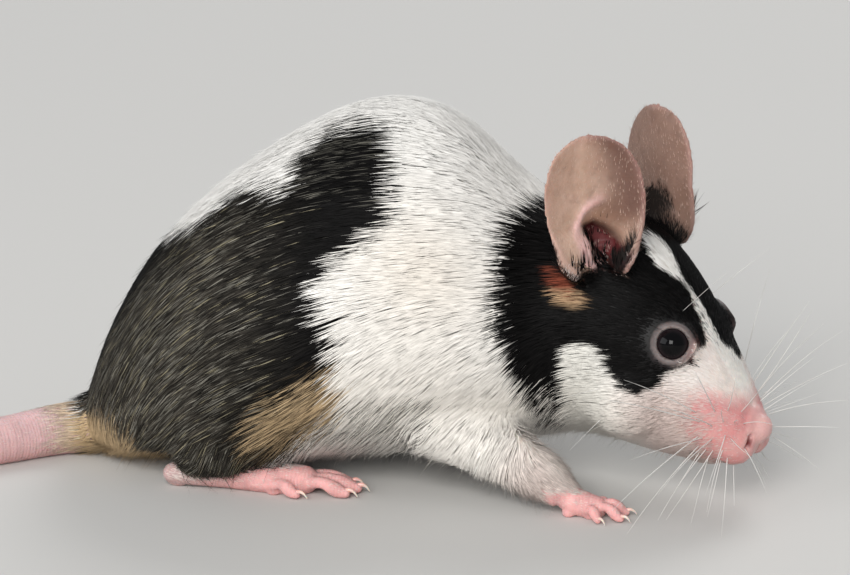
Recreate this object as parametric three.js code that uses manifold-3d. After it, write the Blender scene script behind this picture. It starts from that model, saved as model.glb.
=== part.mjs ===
// A fancy-bred house mouse, life size, crouched with its head turned a little to its right.
// Millimetres, +Z up. The mouse faces +X and its right side is at -Y. The origin is on the floor,
// under the middle of its bounding box.
//
// The trunk, neck and head are modelled straight, as one loft that is mirror-symmetric about the
// plane y = 0, with the tail root near x = 0. They are parted by thin cuts, and turnSpine() then
// bends the neck and the rump. The solids reach out to the tips of the coat.
import * as THREE from "three";
import { mergeVertices } from "three/addons/utils/BufferGeometryUtils.js";
import Module from "manifold-3d";

const wasm = await Module();
wasm.setup();

const { sin, cos, abs, round, max, PI } = Math;
const vec = (x, y, z) => new THREE.Vector3(x, y, z);
const rad = THREE.MathUtils.degToRad;
const { lerp, smoothstep } = THREE.MathUtils;

// ---------------------------------------------------------------- driving dimensions
const gap = 0.3; // clear space at every cut between two nodes
const press = 0.12; // how much of each sole, pad and tail the floor flattens
const fineness = 0.05; // details smaller than this are merged away

const bends = [
  { pivot: 44, from: 37, to: 49, turn: -16 }, // the neck
  { pivot: 13, from: 13, to: 0, turn: 10 }, // the rump
];
const headCut = { at: vec(45.6, 0, 15), lean: 10 };
const neckCut = { at: vec(39.2, 0, 15), lean: -4 };

const eye = { radius: 1.72, at: vec(55.2, 4.2, 15.2) };
const ear = {
  height: 12.9,
  halfWidth: 4.65,
  thickness: 0.55,
  base: vec(49.0, 5.8, 20.6),
  facing: 51, // the way the cup opens, from straight ahead round to the side
  splay: 12,
};
const tail = { rootRadius: 2.6, tipRadius: 0.55 };

// ---------------------------------------------------------------- solids
/** A closed geometry as a manifold solid with its faces pointing out. */
function solid(geometry) {
  const bare = geometry.clone();
  bare.deleteAttribute("normal");
  bare.deleteAttribute("uv");
  const merged = mergeVertices(bare, 1e-4);
  const vertProperties = merged.attributes.position.array;
  const triVerts = new Uint32Array(merged.index.array);
  const made = new wasm.Manifold(new wasm.Mesh({ numProp: 3, vertProperties, triVerts }));
  return made.volume() > 0 ? made : solid(flipped(bare));
}

function flipped(geometry) {
  const index = geometry.index.array;
  for (let i = 0; i < index.length; i += 3) {
    [index[i + 1], index[i + 2]] = [index[i + 2], index[i + 1]];
  }
  return geometry;
}

/** A three.js geometry of a manifold solid. */
function geometryOf(manifold) {
  const { vertProperties, triVerts, numProp, numVert } = manifold.getMesh();
  const points = new Float32Array(numVert * 3);
  for (let i = 0; i < numVert; i++) {
    points.set(vertProperties.subarray(i * numProp, i * numProp + 3), i * 3);
  }
  const geometry = new THREE.BufferGeometry();
  geometry.setAttribute("position", new THREE.BufferAttribute(points, 3));
  geometry.setIndex(new THREE.BufferAttribute(triVerts, 1));
  geometry.computeVertexNormals();
  return geometry;
}

/** A closed loft through rings of points, with a point closing each end. */
function loft(first, rings, last) {
  const sides = rings[0].length;
  const geometry = new THREE.SphereGeometry(1, sides, rings.length + 1);
  const rows = [Array(sides).fill(first), ...rings, Array(sides).fill(last)];
  rows.forEach((row, i) => {
    for (let j = 0; j <= sides; j++) {
      const { x, y, z } = row[j % sides];
      geometry.attributes.position.setXYZ(i * (sides + 1) + j, x, y, z);
    }
  });
  return solid(geometry);
}

/** An ellipsoid, turned by degrees about X, Y and Z, and grown evenly. */
function ellipsoid({ at, radii, turn = [0, 0, 0], grow = 0, sides = 11 }) {
  const geometry = new THREE.SphereGeometry(1, sides, round(sides * 0.6));
  geometry.scale(...radii.map((r) => r + grow));
  const euler = new THREE.Euler(...turn.map(rad), "ZYX");
  geometry.applyMatrix4(new THREE.Matrix4().makeRotationFromEuler(euler));
  geometry.translate(at.x, at.y, at.z);
  return solid(geometry);
}

/** A round-ended limb, digit or tail along a smooth curve through a few points. */
function limb({ points, radii, flat = 1, sides = 10, steps = 8, grow = 0 }) {
  const curve = new THREE.CatmullRomCurve3(points);
  const radiusCurve = smoothRows(radii.map((r) => [r]));
  const rings = [];
  const ends = [];
  for (let i = 0; i <= steps; i++) {
    const t = i / steps;
    const centre = curve.getPoint(t);
    const along = curve.getTangent(t);
    const side = along.clone().cross(vec(0, 0, 1)).normalize();
    const over = side.clone().cross(along);
    const radius = radiusCurve(t)[0] + grow;
    rings.push(
      circle(sides).map(([c, s]) =>
        centre.clone().addScaledVector(side, radius * c).addScaledVector(over, radius * flat * s),
      ),
    );
    if (i === 0) ends.push(centre.clone().addScaledVector(along, -0.6 * radius));
    if (i === steps) ends.push(centre.clone().addScaledVector(along, 0.6 * radius));
  }
  return loft(ends[0], rings, ends[1]);
}

function circle(sides) {
  return Array.from({ length: sides }, (_, i) => {
    const angle = (i / sides) * 2 * PI;
    return [cos(angle), sin(angle)];
  });
}

/** A smooth curve through rows of numbers, as a function of 0 to 1. */
function smoothRows(rows) {
  const places = rows.map((_, i) => i);
  const curve = new THREE.CubicInterpolant(places, rows.flat(), rows[0].length);
  return (t) => Array.from(curve.evaluate(t * (rows.length - 1)));
}

function join(solids) {
  return solids.reduce((a, b) => a.add(b));
}

/** What lies on one side of a leaning plane across the spine, clear of the cut. */
function beyond({ at, lean }, manifold, way) {
  const normal = vec(cos(rad(lean)), 0, sin(rad(lean))).multiplyScalar(way);
  return manifold.trimByPlane(normal.toArray(), normal.dot(at) + gap / 2);
}

/** The same shape on the mouse's other side. */
function mirrored(manifold) {
  return manifold.mirror([0, 1, 0]);
}

/** Carries what was modelled straight to where the bent spine holds it. */
function turnSpine(manifold) {
  return manifold.warp((v) => {
    const bend = bends.find(({ from, to }) => (v[0] - from) * (to - from) > 0);
    if (!bend) return;
    const share = Math.min(1, (v[0] - bend.from) / (bend.to - bend.from));
    const angle = rad(bend.turn) * smoothstep(share, 0, 1);
    const dx = v[0] - bend.pivot;
    const dy = v[1];
    v[0] = bend.pivot + dx * cos(angle) - dy * sin(angle);
    v[1] = dx * sin(angle) + dy * cos(angle);
  });
}

// ---------------------------------------------------------------- trunk, neck and head
// Each row is a slice across the body, from the tail root to the nose: its top and its bottom as
// seen from the side, its half width, and how far up it is widest.
//  top x, z    bottom x, z   half  widest
const slices = [
  [-2.0, 5.4, -2.2, 0.9, 2.4, 0.5],
  [-1.1, 8.0, 0.2, 0.7, 5.8, 0.45],
  [0.4, 12.0, 2.4, 0.6, 9.3, 0.4],
  [4.2, 18.9, 6.4, 0.8, 12.8, 0.36],
  [10.0, 25.2, 11.6, 1.2, 14.6, 0.33],
  [16.6, 30.2, 17.3, 1.8, 15.2, 0.32],
  [22.4, 33.5, 23.0, 2.2, 14.9, 0.32],
  [27.8, 34.6, 28.0, 2.5, 14.2, 0.34],
  [33.0, 32.9, 33.4, 2.9, 13.2, 0.38],
  [37.2, 29.1, 38.4, 3.9, 11.8, 0.42],
  [40.6, 26.5, 42.2, 4.5, 10.2, 0.44],
  [44.2, 25.3, 45.4, 5.1, 9.1, 0.45],
  [47.6, 25.0, 48.0, 5.0, 8.6, 0.44],
  [50.8, 24.2, 50.4, 4.6, 8.0, 0.42],
  [53.4, 22.0, 52.6, 4.2, 7.1, 0.42],
  [55.9, 18.9, 54.8, 4.0, 6.0, 0.42],
  [57.9, 15.7, 56.8, 3.9, 5.0, 0.42],
  [59.6, 12.5, 58.7, 4.0, 4.3, 0.42],
  [61.0, 9.8, 60.4, 4.4, 3.3, 0.42],
  [61.9, 8.5, 61.6, 5.2, 2.1, 0.45],
];
const sliceSides = 24;
const sliceCount = 38;
const sliceCurve = smoothRows(slices);

/** One slice of the body at t, from 0 at the tail root to 1 at the nose. */
function slice(t, grow) {
  const [topX, topZ, bottomX, bottomZ, half, widest] = sliceCurve(t);
  const top = vec(topX, 0, topZ);
  const bottom = vec(bottomX, 0, bottomZ);
  const middle = bottom.clone().lerp(top, widest);
  return circle(sliceSides).map(([c, s]) => {
    const reach = (s > 0 ? top : bottom).clone().sub(middle);
    reach.setLength(reach.length() + grow);
    return middle.clone().addScaledVector(reach, abs(s)).add(vec(0, c * (half + grow), 0));
  });
}

function bodyLoft(grow = 0) {
  const rings = [];
  for (let i = 0; i < sliceCount; i++) {
    rings.push(slice(i / (sliceCount - 1), grow));
  }
  return loft(vec(-2.8 - grow, 0, 3.2), rings, vec(62.3 + grow, 0, 7.0));
}

/** A pair of ellipsoids, one on each side. */
function pairOf(form) {
  const right = ellipsoid(form);
  return right.add(mirrored(right));
}

function wholeBody(grow = 0) {
  return join([
    bodyLoft(grow),
    pairOf({ at: vec(51.2, 4.8, 10.4), radii: [4.6, 3.5, 4.2], turn: [0, 30, -14], grow }), // cheeks
    pairOf({ at: vec(55.0, 3.3, 15.1), radii: [2.7, 1.7, 2.4], turn: [0, 40, -16], grow }), // brows
    pairOf({ at: vec(59.9, 1.8, 6.4), radii: [2.3, 1.8, 2.0], turn: [0, 40, -18], grow }), // pads
    ellipsoid({ at: vec(61.7, 0, 7.3), radii: [1.2, 1.4, 1.25], turn: [0, 35, 0], grow }), // nose
    ellipsoid({ at: vec(57.2, 0, 4.8), radii: [3.0, 2.0, 1.3], turn: [0, -4, 0], grow }), // chin
  ]);
}

// ---------------------------------------------------------------- ears
/** A thin cupped shell, rolled into a funnel at its base. This is the left one. */
function earShell(grow = 0) {
  const lengthwise = 10;
  const across = 8;
  const rings = [];
  for (let i = 0; i <= lengthwise; i++) {
    const v = i / lengthwise;
    const half = earHalfWidth(v);
    const wrap = rad(lerp(110, 30, smoothstep(v, 0, 0.5))); // how far the rim curls round
    const bend = half / (wrap < PI / 2 ? sin(wrap) : 1);
    const shell = (way) => (s) => {
      const r = bend + way * (ear.thickness / 2 + grow);
      return vec(bend * cos(wrap * 0.5) - r * cos(wrap * s), r * sin(wrap * s), v * ear.height);
    };
    const spread = Array.from({ length: across + 1 }, (_, k) => (2 * k) / across - 1);
    rings.push([...spread.map(shell(1)), ...spread.toReversed().map(shell(-1))]);
  }
  const made = loft(vec(0, 0, -0.5 - grow), rings, vec(-0.4, 0, ear.height + 0.25 + grow));
  return made
    .rotate([0, -8, 0])
    .rotate([0, 0, ear.facing])
    .rotate([-ear.splay, 0, 0])
    .translate(ear.base.toArray());
}

function earHalfWidth(v) {
  const widest = 0.56;
  const share = v < widest
    ? lerp(0.35, 1, sin((v / widest) * (PI / 2)))
    : max(0, 1 - ((v - widest) / (1.01 - widest)) ** 2.5) ** 0.45;
  return share * ear.halfWidth;
}

// ---------------------------------------------------------------- tail
const tailRoute = new THREE.CatmullRomCurve3([
  vec(2, -0.6, 0),
  vec(-4.5, -4.4, 0),
  vec(-10, -9.2, 0),
  vec(-21, -15.8, 0),
  vec(-36, -18.5, 0),
  vec(-50, -15, 0),
  vec(-62, -8.5, 0),
  vec(-72, -5, 0),
]);

/** One length of the tail, between two shares of its whole length. */
function tailLength(from, to, steps) {
  const radiusAt = (t) => lerp(tail.rootRadius, tail.tipRadius, t ** 0.85);
  const centreAt = (t) => tailRoute.getPointAt(t).setZ(radiusAt(t) - press);
  const rings = [];
  for (let i = 0; i <= steps; i++) {
    const t = lerp(from, to, i / steps);
    const along = tailRoute.getTangentAt(t).setZ(0).normalize();
    const side = vec(-along.y, along.x, 0).multiplyScalar(radiusAt(t));
    rings.push(circle(10).map(([c, s]) =>
      centreAt(t).addScaledVector(side, c).add(vec(0, 0, radiusAt(t) * s))));
  }
  return loft(centreAt(from), rings, centreAt(to));
}

// ---------------------------------------------------------------- feet and legs
/** A digit with its claw, lying along +X from its knuckle and turned by degrees. */
function digit({ at, length, radius, turn }) {
  const ahead = (x, z) => vec(x, 0, 0).applyAxisAngle(vec(0, 0, 1), rad(turn)).add(at).setZ(z);
  const toe = limb({
    points: [ahead(-0.8, at.z), ahead(length * 0.45, at.z + 0.3), ahead(length - 0.3, radius)],
    radii: [radius, radius * 0.9, radius * 0.95],
    sides: 6,
    steps: 3,
  });
  const claw = limb({
    points: [
      ahead(length - 0.2, radius * 1.15),
      ahead(length + 0.5, radius * 1.25),
      ahead(length + 1.0, radius * 0.6),
    ],
    radii: [radius * 0.5, radius * 0.38, radius * 0.16],
    sides: 4,
    steps: 2,
  });
  return toe.add(claw);
}

/** The long sole of a hind foot, along +X from its heel at the origin. */
function hindSole(grow = 0) {
  return limb({
    points: [vec(0.9, 0, 1.3), vec(5, 0.1, 1.25), vec(9.5, 0, 1.3), vec(12.6, 0, 1.2)],
    radii: [1.25, 1.25, 1.55, 1.6],
    sides: 9,
    steps: 5,
    grow,
  });
}

const hindToes = [
  { at: vec(10.2, 1.3, 0.9), length: 3.4, radius: 0.62, turn: 16 },
  { at: vec(12.8, 1.0, 1.0), length: 4.6, radius: 0.66, turn: 8 },
  { at: vec(13.2, 0.1, 1.0), length: 4.9, radius: 0.68, turn: 1 },
  { at: vec(12.8, -0.8, 1.0), length: 4.5, radius: 0.66, turn: -7 },
  { at: vec(9.8, -1.3, 0.9), length: 3.3, radius: 0.6, turn: -18 },
];

/** The palm of a forefoot, along +X from its wrist at the origin. */
function palm(grow = 0) {
  return limb({
    points: [vec(-0.6, 0, 1.9), vec(0.9, 0, 1.35), vec(2.5, 0, 1.0)],
    radii: [1.2, 1.35, 1.25],
    sides: 9,
    steps: 3,
    grow,
  });
}

const foreDigits = [
  { at: vec(2.0, 0.95, 0.8), length: 2.0, radius: 0.48, turn: 32 },
  { at: vec(2.7, 0.5, 0.9), length: 2.9, radius: 0.52, turn: 11 },
  { at: vec(2.7, -0.4, 0.9), length: 2.9, radius: 0.52, turn: -10 },
  { at: vec(2.0, -0.9, 0.8), length: 2.1, radius: 0.48, turn: -34 },
];

const legs = {
  right: {
    way: -1,
    wrist: { at: vec(45.0, -10.6, -press), heading: -6 },
    heel: { at: vec(8.0, -11.0, -press), heading: 4 },
    elbow: vec(32.5, -8.2, 7.6),
  },
  left: {
    way: 1,
    wrist: { at: vec(32.5, 7.4, -press), heading: 3 },
    heel: { at: vec(8.6, 11.2, -press), heading: 3 },
    elbow: vec(25.5, 8.6, 6.4),
  },
};

function set(manifold, { at, heading }) {
  return manifold.rotate([0, 0, heading]).translate(at.toArray());
}

const thighAt = vec(14.8, 8.2, 8.9);

/** The haunch's own round shape, a little proud of the trunk. */
function haunch({ way }) {
  const at = thighAt.clone().multiply(vec(1, way, 1));
  return ellipsoid({ at, radii: [9.0, 6.9, 7.4], turn: [0, -16, 0], sides: 14 });
}

/** The space where the trunk gives way to the hind leg, from near the spine outwards. */
function thighSpace({ way }, grow = 0) {
  const reach = 13;
  const at = vec(thighAt.x, way * (reach + 1.5), thighAt.z + 1);
  return ellipsoid({ at, radii: [10.2, reach, 9.2], turn: [0, -16, 0], grow, sides: 14 });
}

function shank({ way, heel }) {
  return limb({
    points: [
      vec(17, way * 9, 5.6),
      heel.at.clone().add(vec(4.5, 0, 4.2)),
      heel.at.clone().add(vec(2.4, 0, 2.6)),
    ],
    radii: [3.6, 2.8, 1.7],
  });
}

function foreArm({ elbow, wrist }) {
  const end = wrist.at.clone().add(vec(-0.5, 0, 2));
  const middle = elbow.clone().lerp(end, 0.55).add(vec(0, 0, 0.4));
  return limb({ points: [elbow, middle, end], radii: [4.0, 2.7, 1.3] });
}

// ---------------------------------------------------------------- the mouse, node by node
const coat = { color: "#e9e4da", roughness: 0.85, metalness: 0 };
const bareSkin = { color: "#e2a3a0", roughness: 0.55, metalness: 0 };
const earSkin = { color: "#b08a7c", roughness: 0.6, metalness: 0 };
const eyeGloss = { color: "#0c0a0b", roughness: 0.06, metalness: 0 };

const mouse = new THREE.Group();
function addNode(name, manifold, look) {
  const bodies = manifold.trimByPlane([0, 0, 1], 0).simplify(fineness).decompose();
  const largest = bodies.reduce((a, b) => (b.volume() > a.volume() ? b : a));
  const mesh = new THREE.Mesh(geometryOf(largest), new THREE.MeshStandardMaterial(look));
  mesh.name = name;
  mouse.add(mesh);
}

const eyeBall = (grow) =>
  ellipsoid({ at: eye.at, radii: Array(3).fill(eye.radius), grow, sides: 14 });
const sockets = eyeBall(gap).add(mirrored(eyeBall(gap)));
const straight = wholeBody().subtract(sockets);
const clearOfBody = turnSpine(wholeBody(gap));

const trunkWithThighs = turnSpine(beyond(neckCut, straight, -1));
let trunk = trunkWithThighs;
for (const [side, leg] of Object.entries(legs)) {
  trunk = trunk.subtract(thighSpace(leg, gap));
  const clearOfSole = set(hindSole(gap), leg.heel);
  const thigh = trunkWithThighs.add(haunch(leg)).intersect(thighSpace(leg));
  const hindLeg = thigh.add(shank(leg).subtract(clearOfBody));
  addNode(`hindleg_${side}`, hindLeg.subtract(clearOfSole), coat);
  addNode(`hindfoot_${side}`, set(join([hindSole(), ...hindToes.map(digit)]), leg.heel), bareSkin);

  const clearOfPalm = set(palm(gap), leg.wrist);
  addNode(`foreleg_${side}`, foreArm(leg).subtract(clearOfBody).subtract(clearOfPalm), coat);
  addNode(`forefoot_${side}`, set(join([palm(), ...foreDigits.map(digit)]), leg.wrist), bareSkin);

  const ownSide = (manifold) => turnSpine(leg.way > 0 ? manifold : mirrored(manifold));
  addNode(`eye_${side}`, ownSide(eyeBall(0)), eyeGloss);
  addNode(`ear_${side}`, ownSide(earShell()).subtract(clearOfBody), earSkin);
}

addNode("trunk", trunk, coat);
addNode("neck", turnSpine(beyond(neckCut, beyond(headCut, straight, -1), 1)), coat);
addNode("head", turnSpine(beyond(headCut, straight, 1)), coat);
addNode("tail_base", tailLength(0, 0.33, 9).subtract(clearOfBody), bareSkin);
addNode("tail_middle", tailLength(0.334, 0.66, 8), bareSkin);
addNode("tail_tip", tailLength(0.664, 1, 7), bareSkin);

const bounds = new THREE.Box3().setFromObject(mouse);
const centre = bounds.getCenter(vec(0, 0, 0));
mouse.position.set(-centre.x, -centre.y, -bounds.min.z);

const part = new THREE.Group();
part.add(mouse);
export default part;
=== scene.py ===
import math

import bpy
import numpy as np
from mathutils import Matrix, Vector
from mathutils.bvhtree import BVHTree
from mathutils.kdtree import KDTree


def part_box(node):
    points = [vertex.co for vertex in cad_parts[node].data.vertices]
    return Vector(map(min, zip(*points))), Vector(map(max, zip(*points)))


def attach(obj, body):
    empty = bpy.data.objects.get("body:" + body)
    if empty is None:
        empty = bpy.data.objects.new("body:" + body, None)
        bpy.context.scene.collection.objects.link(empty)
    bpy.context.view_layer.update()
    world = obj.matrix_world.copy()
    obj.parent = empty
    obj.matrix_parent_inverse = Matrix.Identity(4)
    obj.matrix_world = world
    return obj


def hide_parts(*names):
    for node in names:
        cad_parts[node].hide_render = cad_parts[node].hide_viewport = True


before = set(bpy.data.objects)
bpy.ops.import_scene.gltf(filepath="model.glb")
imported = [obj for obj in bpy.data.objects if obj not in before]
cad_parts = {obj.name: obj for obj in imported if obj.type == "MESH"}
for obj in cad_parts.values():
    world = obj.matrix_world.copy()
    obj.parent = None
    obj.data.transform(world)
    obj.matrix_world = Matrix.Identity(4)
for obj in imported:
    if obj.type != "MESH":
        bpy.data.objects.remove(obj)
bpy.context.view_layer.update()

# A house mouse, life size. Shapes are worked out in millimetres and the meshes are in metres.
# The body is described straight, as the part is, and turned with the spine afterwards.
mm = 0.001
draw = np.random.default_rng(11)

spine = {
    "shift": np.array([4.986, 2.369, 0.0]),  # from the straight mouse to the middle of its box
    "bends": ((44.0, 37.0, 49.0, -16.0), (13.0, 13.0, 0.0, 10.0)),  # pivot, from, to, degrees
}
floorPress = 0.12  # how much the floor flattens a sole or the tail


# small helpers
def lerp(a, b, share):
    return a + (b - a) * share


def ease(x, start, end):
    share = np.clip((x - start) / (end - start), 0.0, 1.0)
    return share * share * (3.0 - 2.0 * share)


def bump(x, middle, reach):
    return np.exp(-(((x - middle) / reach) ** 2))


def unit(vectors):
    return vectors / np.maximum(np.linalg.norm(vectors, axis=-1, keepdims=True), 1e-9)


def rotated(x, y, angle):
    return x * np.cos(angle) - y * np.sin(angle), x * np.sin(angle) + y * np.cos(angle)


def bendAngles(x):
    angle = np.zeros_like(x)
    pivot = np.full_like(x, spine["bends"][0][0])
    for place, start, end, turn in spine["bends"]:
        inside = (x - start) * (end - start) > 0
        angle = np.where(inside, math.radians(turn) * ease(x, start, end), angle)
        pivot = np.where(inside, place, pivot)
    return angle, pivot


def turnSpine(points):
    points = np.asarray(points, float)
    angle, pivot = bendAngles(points[..., 0])
    x, y = rotated(points[..., 0] - pivot, points[..., 1], angle)
    return np.stack([x + pivot, y, points[..., 2]], -1) + spine["shift"]


def straighten(points):
    # turnSpine undone, by working back to the x that it started from
    points = np.asarray(points, float) - spine["shift"]
    x = points[..., 0]
    for _ in range(8):
        angle, pivot = bendAngles(x)
        x, y = rotated(points[..., 0] - pivot, points[..., 1], -angle)
        x = x + pivot
    return np.stack([x, y, points[..., 2]], -1)


def readVectors(piece, what):
    values = np.empty(len(piece.data.vertices) * 3, np.float32)
    piece.data.vertices.foreach_get(what, values)
    return values.reshape(-1, 3).astype(float)


def readPoints(piece):
    return readVectors(piece, "co") / mm


def writePoints(piece, points):
    piece.data.vertices.foreach_set("co", (points * mm).astype(np.float32).ravel())
    piece.data.update()


def deselectAll():
    for thing in list(bpy.context.selected_objects):
        thing.select_set(False)


def makeActive(piece):
    deselectAll()
    piece.select_set(True)
    bpy.context.view_layer.objects.active = piece


def applyModifier(piece, kind, **settings):
    modifier = piece.modifiers.new(kind.lower(), kind)
    for name, value in settings.items():
        setattr(modifier, name, value)
    makeActive(piece)
    bpy.ops.object.modifier_apply(modifier=modifier.name)


def faceOutward(piece):
    makeActive(piece)
    bpy.ops.object.mode_set(mode="EDIT")
    bpy.ops.mesh.select_all(action="SELECT")
    bpy.ops.mesh.normals_make_consistent(inside=False)
    bpy.ops.object.mode_set(mode="OBJECT")


def addPrimitive(name, operator, **sizes):
    deselectAll()
    operator(**sizes)
    piece = bpy.context.object
    piece.name = name
    return piece, readPoints(piece) * mm


def addBall(name, segments, rings, radius=1.0):
    return addPrimitive(name, bpy.ops.mesh.primitive_uv_sphere_add, segments=segments,
                        ring_count=rings, radius=radius)


def treeOf(points):
    tree = KDTree(len(points))
    for i, place in enumerate(points):
        tree.insert(place, i)
    tree.balance()
    return tree


def joinPieces(pieces, name):
    deselectAll()
    for piece in pieces:
        piece.select_set(True)
    bpy.context.view_layer.objects.active = pieces[0]
    bpy.ops.object.join()
    pieces[0].name = name
    return pieces[0]


def smoothPath(places, steps=24):
    # a centripetal Catmull-Rom curve, as a function of the share of its length
    places = np.array(places, float)
    first = 2 * places[0] - places[1]
    last = 2 * places[-1] - places[-2]
    knots = np.vstack([first, places, last])
    samples = []
    for a, b, c, d in zip(knots[:-3], knots[1:-2], knots[2:-1], knots[3:]):
        t1 = np.linalg.norm(b - a) ** 0.5
        t2 = t1 + np.linalg.norm(c - b) ** 0.5
        t3 = t2 + np.linalg.norm(d - c) ** 0.5
        t = np.linspace(t1, t2, steps, endpoint=False)[:, None]
        ab = (t1 - t) / t1 * a + t / t1 * b
        bc = (t2 - t) / (t2 - t1) * b + (t - t1) / (t2 - t1) * c
        cd = (t3 - t) / (t3 - t2) * c + (t - t2) / (t3 - t2) * d
        abc = (t2 - t) / t2 * ab + t / t2 * bc
        bcd = (t3 - t) / (t3 - t1) * bc + (t - t1) / (t3 - t1) * cd
        samples.append((t2 - t) / (t2 - t1) * abc + (t - t1) / (t2 - t1) * bcd)
    line = np.vstack([*samples, places[-1:]])
    run = np.concatenate([[0.0], np.cumsum(np.linalg.norm(np.diff(line, axis=0), axis=1))])
    run /= run[-1]
    return lambda t: np.stack([np.interp(t, run, line[:, k]) for k in range(3)], -1)


def directionOf(path, t, near=0.01):
    return path(np.clip(t + near, 0, 1)) - path(np.clip(t - near, 0, 1))


def addLimb(name, path, radiusAt, sides=20, rings=26, flat=1.0, capShare=0.2):
    # a ball drawn out along a path, with round ends: its rings become the limb's
    piece, ball = addBall(name, sides, rings)
    latitude = np.arccos(np.clip(ball[:, 2], -1, 1)) / math.pi
    around = np.arctan2(ball[:, 1], ball[:, 0])
    t = np.clip((latitude - capShare) / (1 - 2 * capShare), 0, 1)
    capTurn = np.where(latitude < capShare, latitude / capShare, 1.0)
    capTurn = np.where(latitude > 1 - capShare, (1 - latitude) / capShare, capTurn) * math.pi / 2
    radius = radiusAt(t)
    along = unit(directionOf(path, t))
    side = unit(np.cross(along, np.array([0.0, 0.0, 1.0])))
    over = np.cross(side, along)
    reach = np.where(latitude < 0.5, -1.0, 1.0) * np.cos(capTurn) * radius
    ring = np.sin(capTurn) * radius
    place = path(t) + along * reach[:, None]
    place += side * (ring * np.cos(around))[:, None] + over * (ring * np.sin(around) * flat)[:, None]
    writePoints(piece, place)
    faceOutward(piece)
    return piece


def radiusCurve(radii):
    places = np.linspace(0, 1, len(radii))
    return lambda t: np.interp(t, places, radii)


# camera
view = {
    "turn": 13.0, "rise": 15.5,  # degrees round from the right side, and up
    "distance": 300.0,  # mm from the right eye
    "lens": 144.85, "sensor": 36.0,
    "eyeAt": (-21.667, 4.956),  # the camera's own place right of and above the eye, in mm
}


def addCamera():
    turn, rise = math.radians(view["turn"]), math.radians(view["rise"])
    back = Vector((math.sin(turn) * math.cos(rise), -math.cos(turn) * math.cos(rise), math.sin(rise)))
    right = Vector((math.cos(turn), math.sin(turn), 0.0))
    up = back.cross(right)
    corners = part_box("eye_right")
    eye = (Vector(corners[0]) + Vector(corners[1])) / 2
    data = bpy.data.cameras.new("camera")
    data.lens = view["lens"]
    data.sensor_width = view["sensor"]
    data.clip_start = 0.01
    data.clip_end = 10.0
    camera = bpy.data.objects.new("camera", data)
    bpy.context.collection.objects.link(camera)
    aside, above = view["eyeAt"]
    camera.location = eye + (back * view["distance"] + right * aside + up * above) * mm
    camera.rotation_euler = back.to_track_quat("Z", "Y").to_euler()
    bpy.context.scene.camera = camera


addCamera()

# skin: copies of the part's flesh, with finer ears, feet and tail, made one surface
fleshNodes = ("trunk", "neck", "head", "hindleg_right", "hindleg_left", "foreleg_right", "foreleg_left")
skinSettings = {
    "swell": 0.24,  # closes the gaps between the nodes
    "voxel": 0.17,
    "softening": 120,  # rounds of smoothing
    "most": 194000,  # triangles
}
eyeShape = {"at": (55.2, 4.2, 15.2), "radius": 1.72}
eyeAxis = unit(np.array([0.42, -0.86, 0.3]))  # the way the right eye looks, on the straight mouse
eyeForward = unit(np.cross(np.array([0.0, 0.0, 1.0]), eyeAxis))
eyeUp = np.cross(eyeAxis, eyeForward)
earShape = {
    "height": 13.3, "halfWidth": 4.65, "base": (49.0, 5.8, 20.6), "lean": -8.0, "facing": 51.0,
    "splay": 12.0, "leftTurn": 4.5, "thin": 0.36, "thick": 0.95, "thinRim": 0.62, "widest": 0.56,
    "hollowDepth": 1.9, "rows": 72, "columns": 64,
}
lidShape = {"ring": 1.57, "thickness": 0.38, "outward": 0.84}
tailShape = {
    "places": ((2, -0.6), (-4.5, -4.4), (-10, -9.2), (-21, -15.8), (-36, -18.5), (-50, -15),
               (-62, -8.5), (-72, -5)),
    "root": 2.6, "tip": 0.55, "taper": 0.85, "ringHeight": 0.012, "ringSpacing": 0.62,
}

legs = {
    # where each foot stands: x, y, and degrees it is turned; and the elbow
    "right": {"way": -1, "fore": (45.0, -10.6, -6), "hind": (8.0, -11.0, 4), "elbow": (32.5, -8.2, 7.6)},
    "left": {"way": 1, "fore": (32.5, 7.4, 3), "hind": (8.6, 11.2, 3), "elbow": (25.5, 8.6, 6.4)},
}
feet = {
    "hind": {
        "sole": [(0.9, 0, 1.3), (5, 0.1, 1.25), (9.5, 0, 1.3), (12.8, 0, 1.25)],
        "radii": [1.0, 1.12, 1.16, 1.22, 1.38, 1.55, 1.62, 1.45],
        "sides": 20, "rings": 30, "flat": 0.92,
        # each toe: x, y and z of its knuckle, length, radius, and degrees it is spread
        "toes": ((10.2, 1.3, 0.9, 3.4, 0.62, 16), (12.8, 1.0, 1.0, 4.6, 0.66, 8),
                 (13.2, 0.1, 1.0, 4.9, 0.68, 1), (12.8, -0.8, 1.0, 4.5, 0.66, -7),
                 (9.8, -1.3, 0.9, 3.3, 0.6, -18)),
        # each pad: its middle, and half its length, width and height
        "pads": [((x, y, 0.62), (0.75, 0.55, 0.62))
                 for x, y in ((10.6, 1.15), (12.6, 0.75), (12.7, -0.65), (10.3, -1.15))]
        + [((1.3, 0, 0.66), (1.1, 0.62, 0.6))],
        "top": 2.3,  # how high the bare skin reaches
        "claw": 1.0,
    },
    "fore": {
        "sole": [(-1.2, 0, 2.3), (0.9, 0, 1.35), (2.6, 0, 1.0)],
        "radii": [1.2, 1.22, 1.32, 1.28, 1.15],
        "sides": 18, "rings": 20, "flat": 0.9,
        "toes": ((2.0, 0.95, 0.8, 2.0, 0.48, 32), (2.7, 0.5, 0.9, 2.9, 0.52, 11),
                 (2.7, -0.4, 0.9, 2.9, 0.52, -10), (2.0, -0.9, 0.8, 2.1, 0.48, -34)),
        "pads": [((x, y, 0.5), (0.6, 0.45, 0.5))
                 for x, y in ((0.4, 0.75), (0.4, -0.75), (2.3, 0.7), (2.5, 0.0), (2.3, -0.7))],
        "top": 2.2,
        "claw": 0.8,
    },
}
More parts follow.
